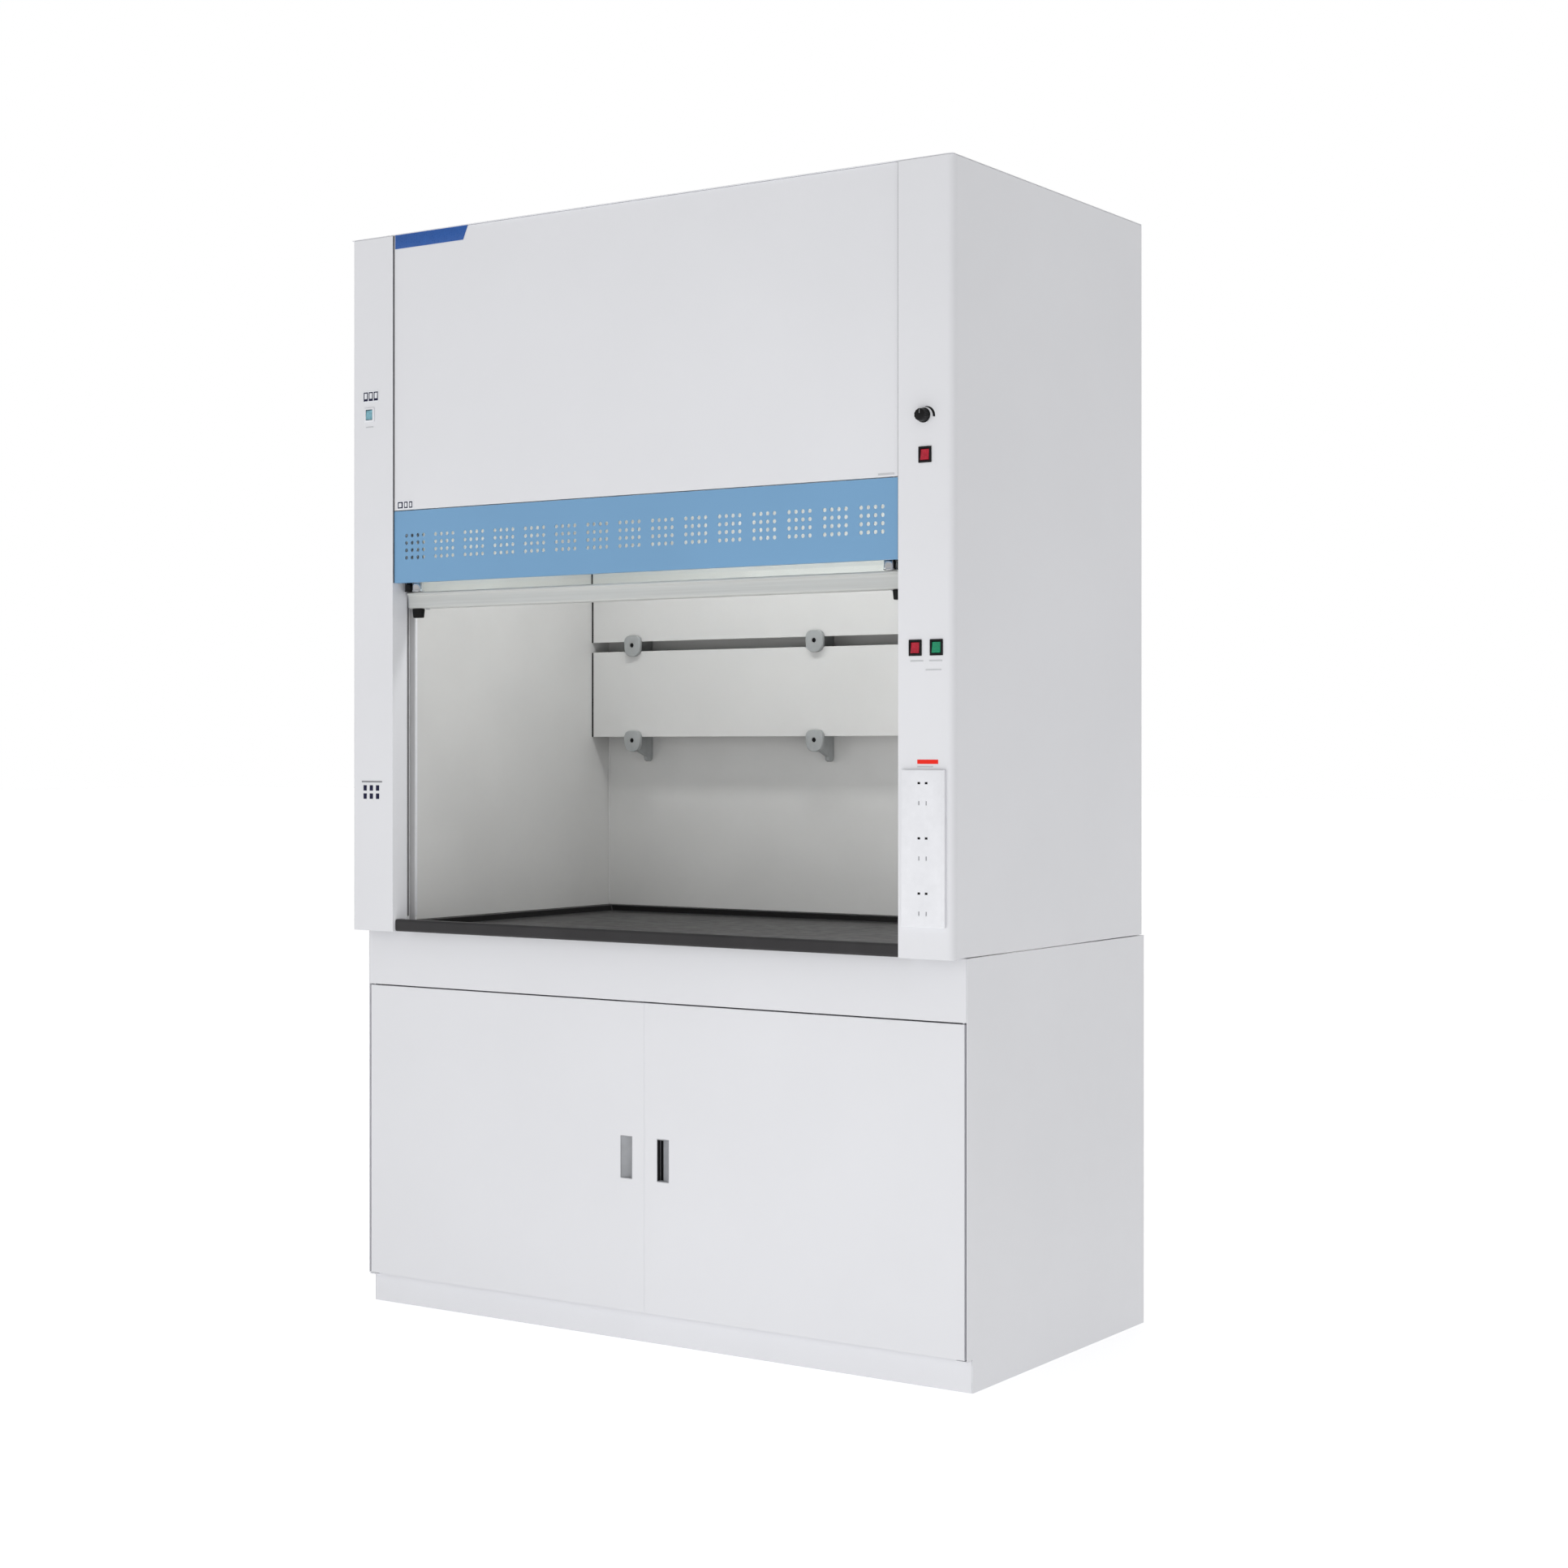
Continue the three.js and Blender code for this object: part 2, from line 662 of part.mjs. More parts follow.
// Two baffles stand in front of the back wall and leave a slot between them, one below and one above.
const BAFFLE = { bottom: 1257.5, slotLow: 1461, slotHigh: 1484, bend: 1800, topZ: 2035, topS: 468 };
const BAFFLE_HALF = LINER_ROOM - 1;
add(
  "baffle_lower",
  block([-BAFFLE_HALF, BAFFLE_HALF], [BAFFLE_FRONT, BAFFLE_FRONT + LINER], [BAFFLE.bottom, BAFFLE.slotLow]),
  paint.liner,
);
add(
  "baffle_upper",
  alongX(
    [
      [BAFFLE_FRONT, BAFFLE.slotHigh],
      [BAFFLE_FRONT + LINER, BAFFLE.slotHigh],
      [BAFFLE_FRONT + LINER, BAFFLE.bend + 1.5],
      [BAFFLE.topS + 3.5, BAFFLE.topZ + 3.5],
      [BAFFLE.topS, BAFFLE.topZ],
      [BAFFLE_FRONT, BAFFLE.bend],
    ],
    -BAFFLE_HALF,
    BAFFLE_HALF,
  ),
  paint.liner,
);

// Each bracket is a rounded cap in front of the baffle edges, on a web that stands on the back wall.
const BRACKET = { pitch: 507, cap: 23, capThick: 11, web: 10, hole: 4, lowZ: 1249.5, highZ: 1475.5 };
const baffleEdges = [
  [BAFFLE.bottom - GAP, BAFFLE.slotLow + GAP],
  [BAFFLE.slotHigh - GAP, BAFFLE.bend],
];

// Round below and squarer above, like a shield.
function capOutline(x, z) {
  const points = [];
  const steps = 20;
  for (let i = 0; i < steps; i++) {
    const angle = (2 * Math.PI * (i + 0.5)) / steps;
    const cosine = Math.cos(angle);
    const sine = Math.sin(angle);
    const power = sine > 0 ? 0.62 : 0.85;
    const width = Math.sign(cosine) * Math.abs(cosine) ** power * BRACKET.cap;
    const height = Math.sign(sine) * Math.abs(sine) ** power * BRACKET.cap * (sine > 0 ? 1 : 1.18);
    points.push([x + width, z + height]);
  }
  return points;
}

for (const [row, z] of [
  ["lower", BRACKET.lowZ],
  ["upper", BRACKET.highZ],
]) {
  [-1, 0, 1].forEach((step, index) => {
    const x = step * BRACKET.pitch;
    const capFront = BAFFLE_FRONT - GAP - BRACKET.capThick;
    const back = CHAMBER_BACK - GAP;
    const cap = alongY(capOutline(x, z), capFront, BAFFLE_FRONT - GAP);
    const web = alongX(
      [
        [BAFFLE_FRONT - 4, z - 20],
        [back - 24, z - 38],
        [back - 22, z - 50],
        [back - 8, z - 50],
        [back, z - 40],
        [back, z + 20],
        [BAFFLE_FRONT - 4, z + 16],
      ],
      x - BRACKET.web / 2,
      x + BRACKET.web / 2,
    );
    const slots = baffleEdges.map((edge) =>
      block([x - 10, x + 10], [BAFFLE_FRONT - GAP, BAFFLE_FRONT + LINER + GAP], edge),
    );
    const screwHole = bar("y", BRACKET.hole, 14, [x, capFront, z], 12);
    const place = ["left", "middle", "right"][index];
    add(`baffle_bracket_${row}_${place}`, cut(join(cap, web), ...slots, screwHole), paint.bracket);
  });
}

// ---------------------------------------------------------------- sash

const SASH_S = 66; // middle of the glass
const GLASS = 6;
const RAIL_BOTTOM = 1536;
const RAIL_TOP = 1572;
const SASH_TOP = 2292;
const STILE_OUTER = 649;
const STILE_INNER = 604;
const STILE_THICK = 14;
const ROPE_X = 595;
const ROPE_S = 38;
const ROPE_R = 2.5;
const ROPE_SIDES = 10;
const LUG = { half: 9, s0: ROPE_S - 8, s1: 50, below: 12, above: 14 }; // rope anchors on the rail

// Tracks: channels along the chamber's front edges, with a slot for the sash stiles.
const TRACK = { s0: JAMB + GAP, deep: 22, wall: 2, slot0: 56.5, slot1: 75.5 };
for (const [side, sign] of SIDES) {
  const face = sign * OPENING_HALF;
  const back = sign * (OPENING_HALF + TRACK.deep);
  const section = [
    [face, TRACK.s0],
    [face, TRACK.slot0],
    [face + sign * TRACK.wall, TRACK.slot0],
    [face + sign * TRACK.wall, TRACK.s0 + TRACK.wall],
    [back - sign * TRACK.wall, TRACK.s0 + TRACK.wall],
    [back - sign * TRACK.wall, TRACK_BACK - TRACK.wall],
    [face + sign * TRACK.wall, TRACK_BACK - TRACK.wall],
    [face + sign * TRACK.wall, TRACK.slot1],
    [face, TRACK.slot1],
    [face, TRACK_BACK],
    [back, TRACK_BACK],
    [back, TRACK.s0],
  ];
  add(
    `sash_track_${side}`,
    alongZ(sign > 0 ? section : section.reverse(), BASE_TOP + GAP, BODY_H - 20),
    paint.shell,
  );
}

// Frame: two stiles and a top member around the glass, open at the bottom where the rail closes it.
const GROOVE = GLASS / 2 + 0.4;
const stile = (sign) =>
  block(
    [sign * STILE_INNER, sign * STILE_OUTER],
    [SASH_S - STILE_THICK / 2, SASH_S + STILE_THICK / 2],
    [RAIL_TOP + GAP, SASH_TOP],
  );
const glassRoom = block(
  [-STILE_INNER - 12, STILE_INNER + 12],
  [SASH_S - GROOVE, SASH_S + GROOVE],
  [RAIL_TOP - 5, SASH_TOP - 12],
);
add(
  "sash_frame",
  cut(
    join(
      stile(-1),
      stile(1),
      block(
        [-STILE_OUTER, STILE_OUTER],
        [SASH_S - STILE_THICK / 2, SASH_S + STILE_THICK / 2],
        [SASH_TOP - 30, SASH_TOP],
      ),
    ),
    glassRoom,
  ),
  paint.aluminium,
);
const GLASS_HALF = STILE_INNER + 11;
const GLASS_BOTTOM = RAIL_TOP - 14;
add(
  "sash_glass",
  block([-GLASS_HALF, GLASS_HALF], [SASH_S - GLASS / 2, SASH_S + GLASS / 2], [GLASS_BOTTOM, SASH_TOP - 13]),
  paint.glass,
);

// Handle rail: a lip along the top of its front face over a face that leans back.
const RAIL_HALF = OPENING_HALF - 3;
const railBar = alongX(
  [
    [42, RAIL_TOP - 7],
    [46, RAIL_TOP - 10],
    [48, RAIL_BOTTOM + 6],
    [54, RAIL_BOTTOM],
    [74, RAIL_BOTTOM],
    [77, RAIL_BOTTOM + 3],
    [77, RAIL_TOP - 3],
    [74, RAIL_TOP],
    [45, RAIL_TOP],
    [42, RAIL_TOP - 2],
  ],
  -RAIL_HALF,
  RAIL_HALF,
);
const lug = (sign) =>
  block(
    [sign * (ROPE_X - LUG.half), sign * (ROPE_X + LUG.half)],
    [LUG.s0, LUG.s1],
    [RAIL_TOP - LUG.below, RAIL_TOP + LUG.above],
  );
const glassSlot = block(
  [-GLASS_HALF - 1, GLASS_HALF + 1],
  [SASH_S - GROOVE, SASH_S + GROOVE],
  [GLASS_BOTTOM - 1, RAIL_TOP + 1],
);
add("sash_handle_rail", cut(join(railBar, lug(-1), lug(1)), glassSlot), paint.rail);

// ---------------------------------------------------------------- sash balance

const PULLEY_X = ROPE_X + PULLEY_PITCH_R;
const WEIGHT_X = PULLEY_X + PULLEY_PITCH_R;
const PULLEY_WIDTH = 12;
const GROOVE_R = PULLEY_PITCH_R - ROPE_R - 1.5;
const WEIGHT = { width: 66, s0: 27, s1: 61, z0: 932, z1: 1545 };
const WRAP_STEPS = 12; // of the rope over a pulley

// A grooved wheel with its hub, turned about the front-to-back axis.
function pulleyWheel() {
  const half = PULLEY_WIDTH / 2;
  const profile = [
    [6, -half - 3],
    [12, -half - 3],
    [12, -half],
    [PULLEY_R, -half],
    [GROOVE_R, -2.5],
    [GROOVE_R, 2.5],
    [PULLEY_R, half],
    [12, half],
    [12, half + 3],
    [6, half + 3],
    [6, -half - 3],
  ].map(([r, y]) => new THREE.Vector2(r, y));
  return new THREE.LatheGeometry(profile, 32);
}

for (const [side, sign] of SIDES) {
  const wheel = add(`pulley_${side}`, pulleyWheel(), paint.nylon);
  wheel.position.set(sign * PULLEY_X, FRONT + ROPE_S, PULLEY_Z);

  add(
    `sash_rope_${side}`,
    bar("z", ROPE_R, PULLEY_Z - RAIL_TOP - LUG.above - 2 * GAP, [
      sign * ROPE_X,
      ROPE_S,
      (PULLEY_Z + RAIL_TOP + LUG.above) / 2,
    ], ROPE_SIDES),
    paint.rope,
  );

  // Over the pulley and down to the weight.
  const over = new THREE.CatmullRomCurve3(
    Array.from({ length: WRAP_STEPS + 1 }, (_, i) => {
      const angle = (Math.PI * i) / WRAP_STEPS;
      return new THREE.Vector3(
        sign * (PULLEY_X - PULLEY_PITCH_R * Math.cos(angle)),
        FRONT + ROPE_S,
        PULLEY_Z + GAP + PULLEY_PITCH_R * Math.sin(angle),
      );
    }),
  );
  const down = new THREE.LineCurve3(
    new THREE.Vector3(sign * WEIGHT_X, FRONT + ROPE_S, PULLEY_Z + GAP),
    new THREE.Vector3(sign * WEIGHT_X, FRONT + ROPE_S, WEIGHT.z1 + GAP),
  );
  const ring = outline(circle(0, 0, ROPE_R, ROPE_SIDES));
  const ropePath = new THREE.CatmullRomCurve3(
    [...over.getPoints(WRAP_STEPS), ...down.getPoints(WRAP_STEPS / 2).slice(1)],
    false,
    "centripetal",
  );
  add(
    `weight_rope_${side}`,
    new THREE.ExtrudeGeometry(ring, { steps: 40, extrudePath: ropePath, bevelEnabled: false }),
    paint.rope,
  );

  add(
    `counterweight_${side}`,
    block(
      [sign * (WEIGHT_X - WEIGHT.width / 2), sign * (WEIGHT_X + WEIGHT.width / 2)],
      [WEIGHT.s0, WEIGHT.s1],
      [WEIGHT.z0, WEIGHT.z1],
    ),
    paint.castIron,
  );
}

// ---------------------------------------------------------------- controls

const BEZEL = 2.5;
const PROUD_GAP = 0.3; // between a fitting's rim and the post it sits on
const SWITCH_WALL = 1.5;
const SWITCH_WELL = 9;
const SWITCH_DEEP = 24;

for (const { name, x, z, rocker, housing } of SWITCHES) {
  const bezel = block(
    [x - SWITCH_W / 2, x + SWITCH_W / 2],
    [-BEZEL, -PROUD_GAP],
    [z - SWITCH_H / 2, z + SWITCH_H / 2],
  );
  const body = block(
    [x - BODY_W_CUT / 2, x + BODY_W_CUT / 2],
    [-1, SWITCH_DEEP],
    [z - BODY_H_CUT / 2, z + BODY_H_CUT / 2],
  );
  const well = block(
    [x - BODY_W_CUT / 2 + SWITCH_WALL, x + BODY_W_CUT / 2 - SWITCH_WALL],
    [-BEZEL - 1, SWITCH_WELL],
    [z - BODY_H_CUT / 2 + SWITCH_WALL, z + BODY_H_CUT / 2 - SWITCH_WALL],
  );
  add(`switch_housing_${name}`, cut(join(bezel, body), well), housing);

  // Two flat halves that meet at a shallow angle, over a round back that turns in the housing.
  const half = BODY_H_CUT / 2 - 2.8;
  const key = alongX(
    [
      [-BEZEL - 1.6, z - half],
      [0.5, z - half],
      [6.5, z - 5],
      [6.5, z + 5],
      [0.5, z + half],
      [-BEZEL + 1.2, z + half],
      [-BEZEL + 0.6, z],
    ],
    x - BODY_W_CUT / 2 + 2,
    x + BODY_W_CUT / 2 - 2,
  );
  add(`rocker_${name}`, key, rocker);
}

// Knob: a fluted grip with a skirt, on a spindle through the post.
function knobGeometry() {
  const flutes = 10;
  const points = Array.from({ length: flutes * 4 }, (_, i) => {
    const angle = (2 * Math.PI * i) / (flutes * 4);
    const radius = i % 4 === 0 ? KNOB.radius - 1.5 : KNOB.radius - 0.3;
    return [KNOB.x + radius * Math.cos(angle), KNOB.z + radius * Math.sin(angle)];
  });
  const pointer = block(
    [KNOB.x - 1, KNOB.x + 1],
    [-KNOB_PROUD - 1, -KNOB_PROUD + 0.8],
    [KNOB.z + 3, KNOB.z + 20],
  );
  return cut(
    join(
      alongY(points, -KNOB_PROUD, -2.5),
      bar("y", KNOB.skirt, 3, [KNOB.x, -2.2, KNOB.z], 32),
      bar("y", KNOB.spindle, 22, [KNOB.x, 8, KNOB.z], 16),
    ),
    pointer,
  );
}
add("speed_knob", knobGeometry(), paint.black);

// Socket panel: a raised plate over a box set into the post, with three outlets.
const plate = block(
  [SOCKET.x - SOCKET.width / 2, SOCKET.x + SOCKET.width / 2],
  [-SOCKET.proud, -PROUD_GAP],
  [SOCKET.z0, SOCKET.z1],
);
const backBox = block(
  [SOCKET.x - SOCKET.box / 2, SOCKET.x + SOCKET.box / 2],
  [-2, SOCKET.deep],
  [SOCKET.z0 + SOCKET.margin, SOCKET.z1 - SOCKET.margin],
);
const OUTLET = { count: 3, z: 954.5, pitch: 104.5, apart: 7.9, lower: 38, deep: 10 };
const outletCuts = [];
for (let i = 0; i < OUTLET.count; i++) {
  const z = OUTLET.z + i * OUTLET.pitch;
  const low = z - OUTLET.lower;
  for (const x of [SOCKET.x - OUTLET.apart, SOCKET.x + OUTLET.apart]) {
    outletCuts.push(
      block([x - 3, x + 3], [-SOCKET.proud - 1, OUTLET.deep], [z - 2, z + 2]),
      block([x - 1, x + 1], [-SOCKET.proud - 1, OUTLET.deep], [low - 4, low + 4]),
    );
  }
}
add("socket_panel", cut(join(plate, backBox), ...outletCuts), paint.socket);

export default hood;
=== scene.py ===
import math

import bmesh
import bpy
from mathutils import Matrix, Vector


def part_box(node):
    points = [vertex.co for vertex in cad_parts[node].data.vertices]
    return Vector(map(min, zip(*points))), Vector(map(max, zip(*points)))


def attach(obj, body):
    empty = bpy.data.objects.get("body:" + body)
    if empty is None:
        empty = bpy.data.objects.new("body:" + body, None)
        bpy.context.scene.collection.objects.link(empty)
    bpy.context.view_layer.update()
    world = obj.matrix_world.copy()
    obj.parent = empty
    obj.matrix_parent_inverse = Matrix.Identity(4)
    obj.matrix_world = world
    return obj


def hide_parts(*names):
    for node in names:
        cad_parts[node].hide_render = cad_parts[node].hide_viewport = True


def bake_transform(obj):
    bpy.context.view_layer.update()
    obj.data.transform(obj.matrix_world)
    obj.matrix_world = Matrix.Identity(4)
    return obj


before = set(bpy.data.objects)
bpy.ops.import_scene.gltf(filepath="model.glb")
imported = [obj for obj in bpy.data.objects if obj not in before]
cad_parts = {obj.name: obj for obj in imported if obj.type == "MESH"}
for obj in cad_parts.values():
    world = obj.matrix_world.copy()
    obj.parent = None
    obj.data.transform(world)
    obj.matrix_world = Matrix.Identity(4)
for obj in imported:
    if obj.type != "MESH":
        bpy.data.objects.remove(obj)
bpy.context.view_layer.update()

# Fume hood. The helpers take millimetres: x from the middle, s behind the posts' front face, z up.

scene = bpy.context.scene
scene.view_settings.view_transform = "Standard"
MM = 0.001
SIDES = (("left", -1), ("right", 1))
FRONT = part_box("post_left")[0].y


def at(x, s, z):
    """A place in the frame, in metres."""
    return Vector((x * MM, FRONT + s * MM, z * MM))


def place_of(v):
    """The x, s, z in millimetres of a place in metres."""
    return v.x / MM, (v.y - FRONT) / MM, v.z / MM


def limits(node):
    """Lowest and highest x, s, z of a CAD node."""
    return [place_of(v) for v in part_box(node)]


def centre_of(node):
    """Middle x, s, z of a CAD node's box."""
    low, high = limits(node)
    return tuple((a + b) / 2 for a, b in zip(low, high))


def arc(u, v, radius, start, step, count):
    """Points on an arc round (u, v); the angles are in degrees."""
    turns = [math.radians(start + step * i) for i in range(count)]
    return [(u + radius * math.cos(turn), v + radius * math.sin(turn)) for turn in turns]


# -------- camera

CAMERA_PLACE = (3.14125, -4.80491, 1.22539)  # metres
CAMERA_TURN = 35.33  # degrees to the left of straight on
LENS, SENSOR = 60.64, 36
SHIFT = (0.09165, -0.02142)

camera = bpy.data.objects.new("camera", bpy.data.cameras.new("camera"))
camera.data.lens = LENS
camera.data.sensor_width = SENSOR
camera.data.shift_x, camera.data.shift_y = SHIFT
camera.data.clip_end = 200
camera.location = CAMERA_PLACE
camera.rotation_euler = (math.radians(90), 0, math.radians(CAMERA_TURN))
scene.collection.objects.link(camera)
scene.camera = camera

# -------- materials


def map_range(nodes, links, value, *span):
    """A Map Range node's result; the span is from low, from high, to low, to high."""
    node = nodes.new("ShaderNodeMapRange")
    for socket, number in zip(("From Min", "From Max", "To Min", "To Max"), span):
        node.inputs[socket].default_value = number
    links.new(value, node.inputs["Value"])
    return node.outputs["Result"]


class Surface:
    """A Principled material with procedural colour, roughness and bump in object coordinates."""

    def __init__(self, name, **constants):
        self.material = bpy.data.materials.new(name)
        self.material.use_nodes = True
        self.nodes = self.material.node_tree.nodes
        self.links = self.material.node_tree.links
        self.shader = self.nodes["Principled BSDF"]
        self.coords = self.nodes.new("ShaderNodeTexCoord").outputs["Object"]
        for socket, value in constants.items():
            self.shader.inputs[socket.replace("_", " ")].default_value = value

    def noise(self, scale, detail, stretch=(1, 1, 1)):
        mapping = self.nodes.new("ShaderNodeMapping")
        mapping.inputs["Scale"].default_value = stretch
        self.links.new(self.coords, mapping.inputs["Vector"])
        noise = self.nodes.new("ShaderNodeTexNoise")
        noise.inputs["Scale"].default_value = scale
        noise.inputs["Detail"].default_value = detail
        self.links.new(mapping.outputs["Vector"], noise.inputs["Vector"])
        return noise.outputs["Fac"]

    def cells(self, scale):
        voronoi = self.nodes.new("ShaderNodeTexVoronoi")
        voronoi.inputs["Scale"].default_value = scale
        self.links.new(self.coords, voronoi.inputs["Vector"])
        return voronoi.outputs["Distance"]

    def remap(self, value, low, high, to_low, to_high):
        return map_range(self.nodes, self.links, value, low, high, to_low, to_high)

    def mix(self, value, first, second):
        """first where value is 0, second where it is 1; each is a colour or an output."""
        node = self.nodes.new("ShaderNodeMix")
        node.data_type = "RGBA"
        self.links.new(value, node.inputs["Factor"])
        for socket, colour in ((node.inputs[6], first), (node.inputs[7], second)):
            if isinstance(colour, (tuple, list)):
                socket.default_value = (*colour, 1)
            else:
                self.links.new(colour, socket)
        return node.outputs[2]

    def cloud(self, scale, detail, low=0.3, high=0.7):
        """Soft patches between 0 and 1."""
        return self.remap(self.noise(scale, detail), low, high, 0, 1)

    def colour(self, output):
        self.links.new(output, self.shader.inputs["Base Color"])

    def glow(self, output):
        self.links.new(output, self.shader.inputs["Emission Color"])

    def rough(self, value, low, high):
        self.links.new(self.remap(value, 0.3, 0.7, low, high), self.shader.inputs["Roughness"])

    def bump(self, value, strength, distance):
        node = self.nodes.new("ShaderNodeBump")
        node.inputs["Strength"].default_value = strength
        node.inputs["Distance"].default_value = distance
        self.links.new(value, node.inputs["Height"])
        self.links.new(node.outputs["Normal"], self.shader.inputs["Normal"])


def tint(colour, factor):
    return tuple(min(1.0, c * factor) for c in colour)


def around(colour, spread):
    """A darker and a lighter neighbour of a colour."""
    return tint(colour, 1 - spread), tint(colour, 1 + spread)


def powder_coat(name, colour, spread=0.015, rough=(0.34, 0.44), **constants):
    """Baked paint on sheet steel: faint cloudiness, and a fine orange peel."""
    paint = Surface(name, **constants)
    paint.colour(paint.mix(paint.cloud(1.7, 3, 0.35, 0.65), *around(colour, spread)))
    paint.rough(paint.noise(35, 3), *rough)
    paint.bump(paint.noise(650, 2), 0.05, 0.0002)
    return paint.material


def moulded(name, colour, spread=0.06, rough=(0.3, 0.42), grain=0.08, **constants):
    """Injection-moulded plastic: a fine spark-eroded grain."""
    plastic = Surface(name, **constants)
    plastic.colour(plastic.mix(plastic.cloud(60, 3), *around(colour, spread)))
    plastic.rough(plastic.noise(300, 2), *rough)
    plastic.bump(plastic.noise(2500, 2), grain, 0.0001)
    return plastic.material


def metal(name, colour, stretch, rough=(0.28, 0.4), scale=260, **constants):
    """Metal with fine lines along one axis: stretch is small along the lines."""
    bright = Surface(name, Metallic=1.0, **constants)
    streak = bright.noise(scale, 3, stretch)
    lines = bright.remap(streak, 0.3, 0.7, 0, 1)
    bright.colour(bright.mix(lines, tint(colour, 0.93), tint(colour, 1.05)))
    bright.rough(streak, *rough)
    bright.bump(streak, 0.12, 0.0001)
    return bright.material


def board(name, colour, spread=0.02):
    """Chemical-resistant lining board: matt, with a very fine texture and faint mottling."""
    sheet = Surface(name, Specular_IOR_Level=0.35)
    mottle = sheet.mix(sheet.cloud(5, 4, 0.35, 0.65), *around(colour, spread))
    speck = sheet.remap(sheet.cells(420), 0.04, 0.12, 0, 1)
    sheet.colour(sheet.mix(speck, tint(colour, 0.93), mottle))
    sheet.rough(sheet.noise(90, 3), 0.5, 0.62)
    sheet.bump(sheet.noise(900, 3), 0.08, 0.0002)
    return sheet.material


SHELL = (0.797, 0.802, 0.830)
BLUE = (0.185, 0.375, 0.60)
LINER = (0.66, 0.66, 0.65)

shell = powder_coat("powder_coat_white", SHELL)
grille_blue = powder_coat("powder_coat_blue", BLUE, 0.03)
liner = board("lining_board", LINER)
bracket_grey = moulded("bracket_polypropylene", (0.355, 0.37, 0.372), rough=(0.45, 0.55))
black_plastic = moulded("black_plastic", (0.006, 0.006, 0.007), Specular_IOR_Level=0.25)
pull_grey = moulded("door_pull_grey", (0.36, 0.37, 0.39))
nylon = moulded("nylon", (0.76, 0.74, 0.68), rough=(0.4, 0.5))
rubber = moulded(
    "black_rubber", (0.008, 0.008, 0.008), rough=(0.6, 0.75), grain=0.2, Specular_IOR_Level=0.2
)
white_plastic = moulded("white_plastic", (0.825, 0.832, 0.865), 0.02)
anodised = metal("anodised_aluminium", (0.72, 0.73, 0.74), (1, 1, 0.01), Specular_IOR_Level=0.5)
steel_bar = metal("drawn_steel", (0.55, 0.56, 0.58), (1, 1, 0.02), (0.2, 0.32))
chrome = metal("chromed_steel", (0.80, 0.81, 0.83), (1, 1, 1), (0.06, 0.12), 90)
gloss_black = moulded(
    "gloss_black", (0.004, 0.004, 0.005), rough=(0.10, 0.16), grain=0.01, Specular_IOR_Level=0.35
)
zinc = metal("zinc_screw", (0.66, 0.67, 0.68), (1, 1, 1), (0.25, 0.4), 900)
iron = powder_coat("primed_iron", (0.06, 0.064, 0.068), 0.15, (0.5, 0.7))


def rail_finish():
    """Pale satin extrusion: painted aluminium with faint draw lines along it."""
    finish = Surface("satin_rail", Specular_IOR_Level=0.5)
    lines = finish.noise(240, 3, (0.01, 1, 1))
    share = finish.remap(lines, 0.3, 0.7, 0, 1)
    finish.colour(finish.mix(share, (0.52, 0.53, 0.515), (0.58, 0.59, 0.575)))
    finish.rough(lines, 0.28, 0.38)
    finish.bump(lines, 0.08, 0.0001)
    return finish.material


def resin(name, shade, rough, specular):
    """Honed cast resin: charcoal with very fine lighter and darker specks."""
    slab = Surface(name, Specular_IOR_Level=specular)
    dark, light = tint((0.98, 0.94, 1.0), shade * 0.9), tint((1.0, 0.96, 1.02), shade * 1.1)
    cloud = slab.mix(slab.cloud(9, 4, 0.35, 0.65), dark, light)
    pale = slab.mix(slab.cloud(900, 2, 0.66, 0.74), cloud, tint(light, 1.6))
    slab.colour(slab.mix(slab.remap(slab.cells(700), 0.05, 0.12, 0, 1), tint(dark, 0.6), pale))
    slab.rough(slab.noise(40, 4), *rough)
    slab.bump(slab.noise(1100, 3), 0.04, 0.0002)
    return slab.material


def clear_glass():
    """Toughened glass with a faint green body and very light wipe marks."""
    glass = Surface("toughened_glass", Transmission_Weight=1.0, IOR=1.45)
    wipe = glass.noise(6, 4, (1, 1, 0.25))
    share = glass.remap(wipe, 0.3, 0.7, 0, 1)
    glass.colour(glass.mix(share, (0.93, 0.975, 0.95), (0.95, 0.985, 0.965)))
    glass.rough(wipe, 0.0, 0.03)
    return glass.material


def lit(name, colour, strength, scale, shades, rough, **constants):
    """Opal or translucent plastic with a glow: the lamp's own light for the lamp cover and tube, a painted
    glow for the rocker lenses; shades are of the dark colour, light colour and glow.
    """
    lens = Surface(name, Emission_Strength=strength, **constants)
    cloud = lens.cloud(scale, 2)
    lens.colour(lens.mix(cloud, tint(colour, shades[0]), tint(colour, shades[1])))
    lens.glow(lens.mix(cloud, tint(colour, shades[2]), colour))
    lens.rough(lens.noise(*rough[:2]), *rough[2:])
    return lens.material


def opal(name, colour, strength):
    return lit(name, colour, strength, 14, (0.95, 1, 0.94), (200, 2, 0.3, 0.4))


def rocker_plastic_painted_glow(name, colour, glow):
    # The rockers' emission is a painted glow that deepens their colour.
    coat = {"Coat_Weight": 0.3, "Coat_Roughness": 0.08}
    return lit(name, colour, glow, 160, (0.8, 1.1, 0.7), (500, 2, 0.2, 0.3), **coat)


def strand(name):
    """Stranded wire: wound strands as a slanted wave along the rope, darker in the wave's hollows as
    painted shade between the strands.
    """
    rope = Surface(name, Metallic=1.0)
    wave = rope.nodes.new("ShaderNodeTexWave")
    wave.bands_direction = "DIAGONAL"
    wave.inputs["Scale"].default_value = 260
    wave.inputs["Distortion"].default_value = 0.3
    rope.links.new(rope.coords, wave.inputs["Vector"])
    rope.colour(rope.mix(wave.outputs["Fac"], (0.2, 0.2, 0.21), (0.6, 0.61, 0.63)))
    rope.rough(wave.outputs["Fac"], 0.25, 0.4)
    rope.bump(wave.outputs["Fac"], 0.6, 0.0006)
    return rope.material


